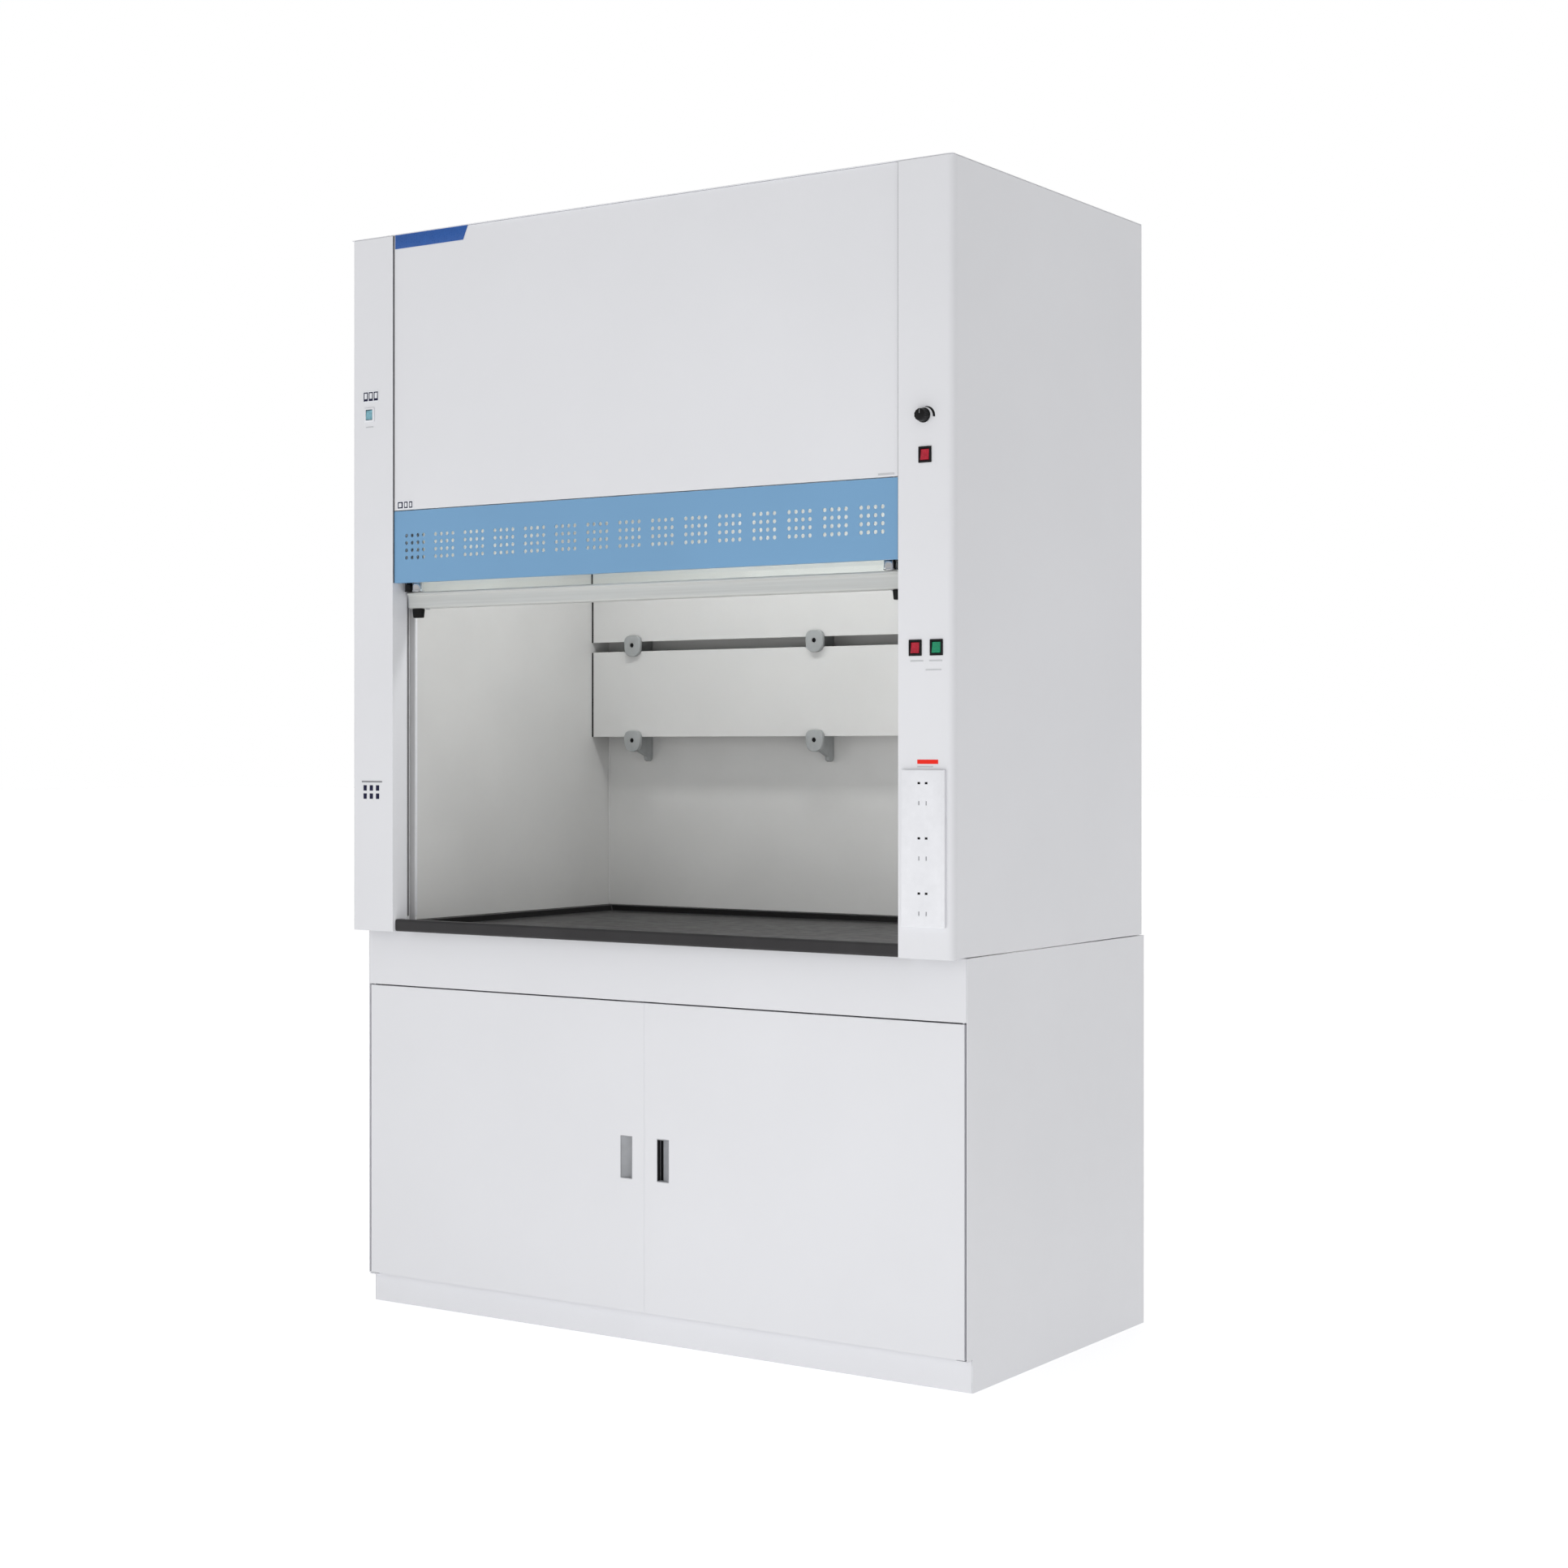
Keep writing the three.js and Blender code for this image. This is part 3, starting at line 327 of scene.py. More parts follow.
rail_satin = rail_finish()
worktop_resin = resin("cast_resin", 0.030, (0.32, 0.42), 0.3)
# Near-black resin on the dish's slopes: painted shade.
worktop_slope_shade = resin("glazed_resin", 0.005, (0.3, 0.4), 0.08)
track_grey = powder_coat("powder_coat_grey", (0.74, 0.74, 0.75))
# Near-black strips for the gaps beside the fascia: painted shade.
gasket_grey = moulded("gasket_grey", (0.07, 0.07, 0.075), rough=(0.5, 0.65), Specular_IOR_Level=0.3)
# Dark grey brush seal on the track's front lip, darkened as painted shade of the lip.
seal_grey = moulded("seal_grey", (0.15, 0.15, 0.155), rough=(0.5, 0.65), Specular_IOR_Level=0.3)
glazing_grey = moulded("glazing_grey", (0.55, 0.57, 0.57), rough=(0.4, 0.55))
glass = clear_glass()
lamp_opal = opal("lamp_opal", (1.0, 0.99, 0.95), 1.2)
tube_white = opal("tube_phosphor", (1.0, 1.0, 0.97), 0.8)
rope_wire = strand("stranded_wire")
rocker_red = rocker_plastic_painted_glow("rocker_red_lens", (0.44, 0.005, 0.026), 0.08)
rocker_green = rocker_plastic_painted_glow("rocker_green_lens", (0.004, 0.25, 0.12), 0.14)
rocker_teal = rocker_plastic_painted_glow("rocker_teal_lens", (0.20, 0.42, 0.50), 0.12)
# Dark teal for the aux switch's well: painted shade round its rocker.
smoked_teal = moulded("smoked_teal", (0.07, 0.14, 0.17), rough=(0.4, 0.5))

FILM_GRAIN = 0.02


def film(name, colour, spread, rough=(0.4, 0.5), **constants):
    """Printed or stuck-on film, and smooth sealant."""
    return moulded(name, colour, spread, rough, FILM_GRAIN, **constants)


label_white = film("label_white", (0.84, 0.86, 0.9), 0.01, (0.25, 0.32))
label_grey = film("label_grey", (0.26, 0.265, 0.28), 0.05)
label_red = film("label_red", (0.88, 0.018, 0.006), 0.03, Specular_IOR_Level=0.3)
label_blue = film("label_blue", (0.028, 0.105, 0.37), 0.06, (0.25, 0.35), Specular_IOR_Level=0.3)
label_ink = film("label_ink", (0.012, 0.012, 0.045), 0.05, Specular_IOR_Level=0.2)
silicone = film("silicone_seal", (0.62, 0.62, 0.61), 0.02, (0.35, 0.45))
print_pale = film("print_pale_grey", (0.58, 0.59, 0.61), 0.04)

# -------- mesh helpers


def clean(bm):
    bmesh.ops.remove_doubles(bm, verts=bm.verts, dist=1e-6)
    bmesh.ops.recalc_face_normals(bm, faces=bm.faces)


def make(name, bm, material, body="root", replaces=(), sharp=38):
    """Makes a bmesh a piece that rides on a body. material is one, or a list that the faces index."""
    clean(bm)
    mesh = bpy.data.meshes.new(name)
    bm.to_mesh(mesh)
    bm.free()
    mesh.shade_smooth()
    mesh.set_sharp_from_angle(angle=math.radians(sharp))
    for entry in material if isinstance(material, (list, tuple)) else (material,):
        mesh.materials.append(entry)
    piece = bpy.data.objects.new(name, mesh)
    scene.collection.objects.link(piece)
    if body:
        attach(piece, body)
    if replaces:
        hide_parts(*replaces)
    return piece


def prism(bm, outline, axis, low, high):
    """Runs an outline along an axis. Its points are (s, z) along x, (x, z) along y, (x, s) along z."""
    place = {
        "x": lambda u, v, w: at(w, u, v),
        "y": lambda u, v, w: at(u, w, v),
        "z": lambda u, v, w: at(u, v, w),
    }[axis]
    rings = [[bm.verts.new(place(u, v, w)) for u, v in outline] for w in (low, high)]
    faces = [bm.faces.new(rings[0]), bm.faces.new(list(reversed(rings[1])))]
    count = len(outline)
    for i in range(count):
        j = (i + 1) % count
        faces.append(bm.faces.new((rings[0][j], rings[0][i], rings[1][i], rings[1][j])))
    bmesh.ops.recalc_face_normals(bm, faces=faces)


def block(bm, x, s, z):
    x, s, z = sorted(x), sorted(s), sorted(z)
    prism(bm, [(x[0], s[0]), (x[1], s[0]), (x[1], s[1]), (x[0], s[1])], "z", *z)


def soften(bm, radius, segments=2, angle=30):
    """Rounds the edges whose faces meet at more than the angle."""
    bm.normal_update()
    limit = math.radians(angle)
    edges = [e for e in bm.edges if len(e.link_faces) == 2 and e.calc_face_angle(0) > limit]
    shape = {"segments": segments, "profile": 0.5, "affect": "EDGES", "clamp_overlap": True}
    bmesh.ops.bevel(bm, geom=edges, offset=radius * MM, offset_type="OFFSET", **shape)


def rounded_block(name, x, s, z, radius, material, body="root", segments=2):
    bm = fresh(block, x, s, z)
    soften(bm, radius, segments)
    make(name, bm, material, body)


def lathe(bm, profile, axis, centre, steps):
    """Turns a profile of (radius, along the axis) about an axis through centre."""
    cx, cs, cz = centre
    place = {
        "x": lambda a, b, h: at(cx + h, cs + a, cz + b),
        "y": lambda a, b, h: at(cx + a, cs + h, cz + b),
        "z": lambda a, b, h: at(cx + a, cs + b, cz + h),
    }[axis]
    rings = []
    for radius, h in profile:
        if radius < 1e-6:
            rings.append([bm.verts.new(place(0, 0, h))])
            continue
        turns = [2 * math.pi * i / steps for i in range(steps)]
        places = [place(radius * math.cos(turn), radius * math.sin(turn), h) for turn in turns]
        rings.append([bm.verts.new(p) for p in places])
    for first, second in zip(rings, rings[1:]):
        if len(first) == len(second) == 1:
            continue
        for i in range(steps):
            j = (i + 1) % steps
            near = first if len(first) == 1 else (first[i], first[j])
            far = second if len(second) == 1 else (second[j], second[i])
            bm.faces.new((*near, *far))


def skin(bm, rings):
    """Faces between neighbouring rings of equally many points."""
    for first, second in zip(rings, rings[1:]):
        for i in range(len(first)):
            j = (i + 1) % len(first)
            bm.faces.new((first[i], first[j], second[j], second[i]))


def sweep(bm, points, radius, sides=12):
    """A round tube along points in metres, closed at its ends."""
    size = radius * MM
    normal = None
    rings = []
    for i, point in enumerate(points):
        ahead = points[min(i + 1, len(points) - 1)] - points[max(i - 1, 0)]
        ahead.normalize()
        if normal is None:
            normal = ahead.orthogonal().normalized()
        normal = (normal - ahead * normal.dot(ahead)).normalized()
        across = ahead.cross(normal)
        ring = []
        for k in range(sides):
            turn = 2 * math.pi * k / sides
            out = normal * math.cos(turn) + across * math.sin(turn)
            ring.append(bm.verts.new(point + out * size))
        rings.append(ring)
    skin(bm, rings)
    bm.faces.new(list(reversed(rings[0])))
    bm.faces.new(rings[-1])


def fresh(shape, *details):
    """A new bmesh with one prism, block, lathe or sweep in it."""
    bm = bmesh.new()
    shape(bm, *details)
    return bm


def temporary(bm):
    """A stand-in object for a boolean."""
    clean(bm)
    mesh = bpy.data.meshes.new("temporary")
    bm.to_mesh(mesh)
    bm.free()
    piece = bpy.data.objects.new("temporary", mesh)
    scene.collection.objects.link(piece)
    return piece


def combine(bm, other, operation="DIFFERENCE"):
    """The boolean of two bmeshes, as a new bmesh."""
    first, second = temporary(bm), temporary(other)
    modifier = first.modifiers.new("boolean", "BOOLEAN")
    modifier.object = second
    modifier.operation = operation
    modifier.solver = "EXACT"
    bpy.context.view_layer.update()
    evaluated = first.evaluated_get(bpy.context.evaluated_depsgraph_get())
    made = bmesh.new()
    made.from_mesh(evaluated.to_mesh())
    evaluated.to_mesh_clear()
    for piece in (first, second):
        mesh = piece.data
        bpy.data.objects.remove(piece)
        bpy.data.meshes.remove(mesh)
    return made


def copied(node):
    """A bmesh of a CAD node, with its flat faces whole."""
    bm = bmesh.new()
    bm.from_mesh(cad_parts[node].data)
    bmesh.ops.remove_doubles(bm, verts=bm.verts, dist=2e-6)
    bmesh.ops.dissolve_limit(bm, angle_limit=math.radians(0.8), verts=bm.verts, edges=bm.edges)
    return bm


def evened(piece):
    """Keeps wide flat faces evenly shaded up to their rounded edges."""
    piece.modifiers.new("even_faces", "WEIGHTED_NORMAL").keep_sharp = True


def dress(node, material, radius=0.5, segments=2):
    """Keeps a CAD node: rounds its edges with modifiers and gives it a material."""
    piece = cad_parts[node]
    if not piece.data.materials:
        piece.data.materials.append(None)
    for entry in piece.material_slots:
        entry.link = "OBJECT"
        entry.material = material
    weld = piece.modifiers.new("weld", "WELD")
    weld.merge_threshold = 2e-6
    flat = piece.modifiers.new("whole_faces", "DECIMATE")
    flat.decimate_type = "DISSOLVE"
    flat.angle_limit = math.radians(0.8)
    edge = piece.modifiers.new("rounded_edges", "BEVEL")
    edge.width = radius * MM
    edge.segments = segments
    edge.limit_method = "ANGLE"
    edge.angle_limit = math.radians(40)


def screws(name, places, axis, toward, radius=4.2):
    """Pan-head screws. places are (x, s, z) on the surface; toward is the way the heads face."""
    bm = bmesh.new()
    for place in places:
        height = radius * 0.55
        profile = [(0, 0), (radius, 0), (radius, height * 0.3)]
        for k in range(1, 5):
            turn = math.pi / 2 * k / 5
            profile.append((radius * math.cos(turn) * 0.98, height * (0.3 + 0.7 * math.sin(turn))))
        profile += [(radius * 0.34, height), (radius * 0.3, height * 0.45), (0, height * 0.35)]
        lathe(bm, [(r, h * toward) for r, h in profile], axis, place, 20)
    make(name, bm, zinc)


# -------- sheet-metal shell

for node in ("base_back", "base_floor", "shelf", "upper_back", "lamp_housing"):
    dress(node, shell, 0.4)
for node in ("apron_panel", "kick_plate", "roof_panel", "fascia_panel"):
    dress(node, shell, 0.6)
for side, sign in SIDES:
    dress("base_side_" + side, shell, 0.6)
    dress("upper_side_" + side, shell, 0.6)
    dress("door_" + side, shell, 0.7, 3)
    dress("door_pivot_rod_" + side, steel_bar, 0.4)
    bm = copied("post_" + side)
    soften(bm, 0.5, 2, 40)
    evened(make("post_" + side + "_finished", bm, shell, "root", ("post_" + side,), 40))

# Exhaust collar: a rolled bead at its mouth, and a flange screwed to the roof.
collar_low, collar_high = limits("exhaust_collar")
COLLAR_X, COLLAR_S, _ = centre_of("exhaust_collar")
COLLAR_STEPS = 96
COLLAR_R = (collar_high[0] - collar_low[0]) / 2
COLLAR_INNER = COLLAR_R - 1.5
COLLAR_FOOT, COLLAR_MOUTH = collar_low[2], collar_high[2]
BEAD_R, BEAD_DOWN, MOUTH_ROUND = 1.6, 14, 0.4
ROOF = limits("roof_panel")[1][2]
profile = [(COLLAR_INNER, COLLAR_FOOT), (COLLAR_R, COLLAR_FOOT)]
profile += arc(COLLAR_R - MOUTH_ROUND, COLLAR_MOUTH - BEAD_DOWN, BEAD_R, -80, 20, 9)
profile += [(COLLAR_R, COLLAR_MOUTH - MOUTH_ROUND), (COLLAR_R - MOUTH_ROUND, COLLAR_MOUTH)]
profile += [(COLLAR_INNER + MOUTH_ROUND, COLLAR_MOUTH), (COLLAR_INNER, COLLAR_MOUTH - MOUTH_ROUND)]
profile.append((COLLAR_INNER, COLLAR_FOOT))
bm = fresh(lathe, profile, "z", (COLLAR_X, COLLAR_S, 0), COLLAR_STEPS)
make("exhaust_collar_rolled", bm, shell, replaces=("exhaust_collar",))
FLANGE_IN, FLANGE_OUT = COLLAR_R + 0.6, COLLAR_R + 26
FLANGE_TOP = ROOF + 1.7
profile = [(FLANGE_IN, ROOF + 0.1), (FLANGE_OUT, ROOF + 0.1), (FLANGE_OUT, FLANGE_TOP - 0.5)]
profile += [(FLANGE_OUT - 0.5, FLANGE_TOP), (FLANGE_IN + 0.5, FLANGE_TOP)]
profile += [(FLANGE_IN, FLANGE_TOP - 0.5), (FLANGE_IN, ROOF + 0.1)]
make("exhaust_flange", fresh(lathe, profile, "z", (COLLAR_X, COLLAR_S, 0), COLLAR_STEPS), shell)
places = [(x, s, FLANGE_TOP) for x, s in arc(COLLAR_X, COLLAR_S, COLLAR_R + 14, 22.5, 45, 8)]
screws("exhaust_flange_screws", places, "z", 1)

# Screws along the roof and the back panels.
HALF_W = limits("roof_panel")[1][0]
UPPER_BACK = limits("upper_back")[1][1]
EDGE_X = HALF_W - 10
places = [(sign * EDGE_X, s, ROOF) for _, sign in SIDES for s in range(40, 801, 190)]
places += [(x, UPPER_BACK - 8, ROOF) for x in range(-500, 501, 250)]
screws("roof_screws", places, "z", 1, 4)
EDGE_X = HALF_W - 12
places = [(sign * EDGE_X, UPPER_BACK, z) for _, sign in SIDES for z in range(900, 2301, 350)]
places += [(x, UPPER_BACK, z) for x in range(-450, 451, 300) for z in (850, 2330)]
screws("upper_back_screws", places, "y", 1, 4)

# Raised service cover on the upper back panel, over the wiring.
COVER_X, COVER_Z, COVER_IN = (430, 650), (1700, 2050), 12
COVER_S = UPPER_BACK + 2.2
rounded_block("service_cover", COVER_X, (UPPER_BACK + 0.2, COVER_S), COVER_Z, 0.8, shell)
places = [
    (x, COVER_S, z)
    for x in (COVER_X[0] + COVER_IN, COVER_X[1] - COVER_IN)
    for z in (COVER_Z[0] + COVER_IN, sum(COVER_Z) / 2, COVER_Z[1] - COVER_IN)
]
screws("service_cover_screws", places, "y", 1, 3.4)

# -------- doors

# Recessed pulls: a grey cup whose pocket floor and walls are black: painted shade in the deep pocket.
POCKET_WALLS = (31.8, 40)  # distance from the middle
LIP_DEEP = 3
PULL_POCKET_SHADE = 1
for side, sign in SIDES:
    node = "door_pull_" + side
    low, high = limits(node)
    bm = copied(node)
    bm.normal_update()
    for face in bm.faces:
        x, s, _ = place_of(face.calc_center_median())
        floor = abs(face.normal.y) > 0.98 and s < high[1] - 0.5
        wall = abs(face.normal.x) > 0.95 and POCKET_WALLS[0] < abs(x) < POCKET_WALLS[1]
        # Black on the pocket's faces is painted shade.
        if s > low[1] + LIP_DEEP and (floor or wall):
            face.material_index = PULL_POCKET_SHADE
    soften(bm, 0.35, 2, 35)
    make(node + "_cup", bm, [pull_grey, black_plastic], "door_" + side, (node,))

# White edge seal in the gap between the doors.
low, high = limits("door_left")
DOOR_BACK, DOOR_TOP = high[1], high[2]
seal_s, seal_z = (low[1] + 0.7, DOOR_BACK - 2), (low[2] + 0.5, DOOR_TOP - 0.5)
rounded_block("door_edge_seal", (-0.7, 0.5), seal_s, seal_z, 0.1, white_plastic, "door_left", 1)

# Magnetic catches under the apron, their plates on the doors, soft bumpers, and the shelf's pins.
CATCH_X, CATCH_S, CATCH_Z = (22, 62), (DOOR_BACK + 3, DOOR_BACK + 18), (DOOR_TOP - 9, DOOR_TOP + 2.6)
PLATE_X, PLATE_S, PLATE_Z = (26, 58), (DOOR_BACK - 14.2, DOOR_BACK - 12.8), (DOOR_TOP - 22, DOOR_TOP - 4)
BUMPER = [(0, 0), (4.5, 0), (4.4, -0.7), (3.2, -1.3), (0, -1.5)]
BUMPER_X, BUMPER_HEIGHTS = 733, (120, 660)
PIN = [(0, 0), (3, 0), (3, 12), (2.4, 12.6), (0, 12.6)]
PIN_X, PIN_IN, PIN_DOWN = 735.9, 60, 3.2
shelf_low, shelf_high = limits("shelf")
for side, sign in SIDES:
    door = "door_" + side
    x = [sign * edge for edge in CATCH_X]
    rounded_block("door_catch_" + side, x, CATCH_S, CATCH_Z, 1.2, white_plastic)
    x = [sign * edge for edge in PLATE_X]
    rounded_block("door_catch_plate_" + side, x, PLATE_S, PLATE_Z, 0.5, zinc, door)
    bm = bmesh.new()
    for z in BUMPER_HEIGHTS:
        lathe(bm, BUMPER, "y", (sign * BUMPER_X, DOOR_BACK + 2, z), 24)
    make("door_bumpers_" + side, bm, silicone)
    bm = bmesh.new()
    for s in (shelf_low[1] + PIN_IN, shelf_high[1] - PIN_IN):
        lathe(bm, PIN, "x", (sign * PIN_X, s, shelf_low[2] - PIN_DOWN), 20)
    make("shelf_pins_" + side, bm, zinc)

# -------- worktop

# The sloping sides of the dish get a near-black resin, darker than its floor and its lip: painted shade.
SLOPE_TILT = (0.05, 0.985)  # upward part of a slope's normal
LIP_WIDE, LIP_FRONT, DISH_UNDER = 12, 8, 3
bm = copied("worktop")
bm.normal_update()
low, high = limits("worktop")
for face in bm.faces:
    x, s, z = place_of(face.calc_center_median())
    inside = abs(x) < high[0] - LIP_WIDE and s > low[1] + LIP_FRONT and z > low[2] + DISH_UNDER
    if inside and SLOPE_TILT[0] < face.normal.z < SLOPE_TILT[1]:
        face.material_index = 1
soften(bm, 2.2, 4, 12)
finishes = [worktop_resin, worktop_slope_shade]
evened(make("worktop_cast", bm, finishes, replaces=("worktop",), sharp=30))

# -------- grille

HOLE_R, HOLE_SIDES = 4.15, 20
HOLE_PITCH, CLUSTERS, PER_SIDE = 16.0, 15, 4
FIRST_X = -596.0
SHEET = 1.5


def flat_panel(outline, circles, low, high):
    """A sheet with round holes, standing across s from low to high, as a bmesh."""
    curve = bpy.data.curves.new("sheet", "CURVE")
    curve.dimensions = "2D"
    curve.fill_mode = "BOTH"
    curve.extrude = (high - low) / 2 * MM
    for loop in [outline] + [arc(x, z, HOLE_R, 0, 360 / HOLE_SIDES, HOLE_SIDES) for x, z in circles]:
        spline = curve.splines.new("POLY")
        spline.points.add(len(loop) - 1)
        spline.use_cyclic_u = True
        for point, (x, z) in zip(spline.points, loop):
            point.co = (x * MM, z * MM, 0, 1)
    piece = bpy.data.objects.new("sheet", curve)
    scene.collection.objects.link(piece)
    bpy.context.view_layer.update()
    evaluated = piece.evaluated_get(bpy.context.evaluated_depsgraph_get())
    mesh = bpy.data.meshes.new_from_object(evaluated)
    bpy.data.objects.remove(piece)
    bm = bmesh.new()
    bm.from_mesh(mesh)
    bpy.data.meshes.remove(mesh)
    middle = FRONT + (low + high) / 2 * MM
    upright = Matrix(((1, 0, 0, 0), (0, 0, -1, middle), (0, 1, 0, 0), (0, 0, 0, 1)))
    bmesh.ops.transform(bm, matrix=upright, verts=bm.verts)
    clean(bm)
    return bm


(x0, s0, z0), (x1, s1, z1) = limits("grille_panel")
GRILLE_FOOT = z0
cluster_wide = (PER_SIDE - 1) * HOLE_PITCH
cluster_pitch = (-2 * FIRST_X - cluster_wide) / (CLUSTERS - 1)
lowest = (z0 + z1) / 2 - cluster_wide / 2
holes = [
    (FIRST_X + c * cluster_pitch + i * HOLE_PITCH, lowest + j * HOLE_PITCH)
    for c in range(CLUSTERS)
    for i in range(PER_SIDE)
    for j in range(PER_SIDE)
]
bm = flat_panel([(x0, z0), (x1, z0), (x1, z1), (x0, z1)], holes, s0, s0 + SHEET)
for z in ((z0, z0 + SHEET), (z1 - SHEET, z1)):
    block(bm, (x0, x1), (s0 + SHEET, s1), z)
make("grille_perforated", bm, grille_blue, replaces=("grille_panel",), sharp=30)

# -------- chamber

for node in ("liner_left", "liner_right", "liner_back", "chamber_ceiling"):
    dress(node, liner, 0.5)
for node in ("baffle_lower", "baffle_upper"):
    dress(node, liner, 0.9, 3)

CHAMBER_BACK = limits("liner_back")[0][1]
RIM = limits("liner_back")[0][2]
CEILING = limits("chamber_ceiling")[0][2]
LINER_X = limits("liner_right")[0][0]


# A concave bead of sealant up each back corner.
BEAD, BEAD_CURVE, BEAD_STEPS = 4, 0.93, 6
bm = bmesh.new()
for _, sign in SIDES:
    x, s = sign * (LINER_X - 0.1), CHAMBER_BACK - 0.1
    points = [(x, s)]
    for i in range(BEAD_STEPS + 1):
        turn = math.pi / 2 * i / BEAD_STEPS
        out, fore = 1 - math.sin(turn) * BEAD_CURVE, 1 - math.cos(turn) * BEAD_CURVE
        points.append((x - sign * BEAD * out, s - BEAD * fore))
    prism(bm, points, "z", RIM + 3, CEILING - 1)
make("corner_sealant", bm, silicone)

# Painted shade at the baffle ends: a dark rubber strip stands in the gap between each upright baffle end
# and the lining, where shade falls.
GAP_SHADE_LIP = 2.2
GAP_SHADE_THICK = 1.2
for name in ("lower", "upper"):
    low, high = limits("baffle_" + name)
    sheet = copied("baffle_" + name)
    corners = [place_of(v.co)[1:] for v in sheet.verts]
    sheet.free()
    foot = min(z for _, z in corners)
    front = min(s for s, z in corners if z < foot + 0.01)
    top = max(z for s, z in corners if abs(s - front) < 0.01)
    bm = bmesh.new()
    for _, sign in SIDES:
        ends = sorted((sign * (high[0] - GAP_SHADE_LIP), sign * (LINER_X - 0.1)))
        block(bm, ends, (front - GAP_SHADE_THICK, front - 0.1), (foot, top - 1))
    make("baffle_edging_" + name, bm, rubber)

# Brackets: a moulded cap in front of the sheets, a web with a hooked foot, and a recessed screw.
CAP_R, CAP_THICK, CAP_STEPS = 23, 11, 56
CAP_SHOULDER, CAP_CHIN, CHIN_LONG = 0.62, 0.85, 1.18  # exponents of the outline, and its stretch
WEB_HALF, SLOT_HALF, SLOT_PLAY = 5, 12, 0.5
WELL = [(0, -3), (5.6, -3), (5.6, 7), (0, 7)]
SCREW = [(0, 6.8), (5.4, 6.8), (5.4, 1.7), (4.8, 1.1), (2.4, 1.1), (2.2, 4.0), (0, 4.0)]
baffle_low, baffle_high = limits("baffle_lower")
upper_foot = limits("baffle_upper")[0][2] - SLOT_PLAY
slot_s = (baffle_low[1] - SLOT_PLAY, baffle_high[1] + SLOT_PLAY)


def cap_outline(x, z):
    """Square shoulders above the screw and a longer rounded chin below it."""
    outline = []
    for i in range(CAP_STEPS):
        turn = 2 * math.pi * (i + 0.5) / CAP_STEPS
        c, s = math.cos(turn), math.sin(turn)
        power, tall = (CAP_SHOULDER, CAP_R) if s > 0 else (CAP_CHIN, CAP_R * CHIN_LONG)
        across, up = math.copysign(abs(c) ** power, c), math.copysign(abs(s) ** power, s)
        outline.append((x + across * CAP_R, z + up * tall))
    return outline


def bracket(node, on_foot):
    """Holds the lower baffle's foot, or else the sheets' edges above and below the slot."""
    low, high = limits(node)
    x, z = centre_of(node)[0], high[2] - CAP_R
    front, back = low[1], high[1]
    behind = front + CAP_THICK
    bm = fresh(prism, cap_outline(x, z), "y", front, behind)
    soften(bm, 2.2, 3, 50)
    outline = [(behind - 3, z - 19), (back - 25, z - 37.5), (back - 22, z - 47), (back - 15, z - 50)]
    outline += [(back - 8, z - 49.5), (back - 1.5, z - 44), (back, z - 38)]
    outline += [(back, z + 19.5), (behind - 3, z + 15.5)]
    web = fresh(prism, outline, "x", x - WEB_HALF, x + WEB_HALF)
    soften(web, 0.9, 2, 50)
    bm = combine(bm, web, "UNION")
    cutters = bmesh.new()
    slot_x = (x - SLOT_HALF, x + SLOT_HALF)
    if on_foot:
        block(cutters, slot_x, slot_s, (baffle_low[2] - SLOT_PLAY, z + 60))
    else:
        block(cutters, slot_x, slot_s, (z - 80, baffle_high[2] + SLOT_PLAY))
        block(cutters, slot_x, slot_s, (upper_foot, z + 60))
    bm = combine(combine(bm, cutters), fresh(lathe, WELL, "y", (x, front, z), 28))
    make(node + "_moulded", bm, bracket_grey, replaces=(node,), sharp=32)
    make(node + "_screw", fresh(lathe, SCREW, "y", (x, front, z), 20), black_plastic)


for row in ("lower", "upper"):
    for place in ("left", "middle", "right"):
        bracket("baffle_bracket_" + row + "_" + place, row == "lower")

# Lamp: a tube with metal caps behind a ribbed opal cover in the ceiling.
LAMP_CAP, CAP_CLEAR = 14, 0.3
lamp_low, lamp_high = limits("lamp_housing")
tube_low, tube_high = limits("lamp_tube")
centre = centre_of("lamp_tube")
tube_r, half = (tube_high[1] - tube_low[1]) / 2, tube_high[0]
end = half - LAMP_CAP
profile = [(0, -end), (tube_r - 1, -end), (tube_r, 1 - end)]
profile += [(r, -h) for r, h in reversed(profile)]
bm = fresh(lathe, profile, "x", centre, 40)
make("lamp_tube_glass", bm, tube_white, replaces=("lamp_tube",))
bm = bmesh.new()
inner = end + CAP_CLEAR
for _, sign in SIDES:
    profile = [(0, inner), (tube_r, inner), (tube_r, half - 2), (tube_r - 1.5, half), (0, half)]
    lathe(bm, [(r, sign * h) for r, h in profile], "x", centre, 32)
make("lamp_tube_caps", bm, zinc)
WINDOW_HALF, WINDOW_IN, RIBS = 304, 9, 24
COVER_TOP, COVER_FACE, RIB_FACE = CEILING + 4, CEILING + 1.5, CEILING + 0.6
first, last = lamp_low[1] + WINDOW_IN, lamp_high[1] - WINDOW_IN
rib = (last - first - 2) / RIBS
outline = [(first, COVER_TOP), (first, COVER_FACE)]
for i in range(RIBS):
    s = first + 1 + (last - first - 2) * i / RIBS
    outline += [(s, COVER_FACE), (s + rib / 2, RIB_FACE)]
outline += [(last - 1, COVER_FACE), (last, COVER_FACE), (last, COVER_TOP)]
make("lamp_cover", fresh(prism, outline, "x", -WINDOW_HALF, WINDOW_HALF), lamp_opal, sharp=20)

# -------- sash

dress("sash_frame", anodised, 0.5)
dress("sash_glass", glass, 0.5)
for side, sign in SIDES:
    dress("sash_track_" + side, track_grey, 0.3)

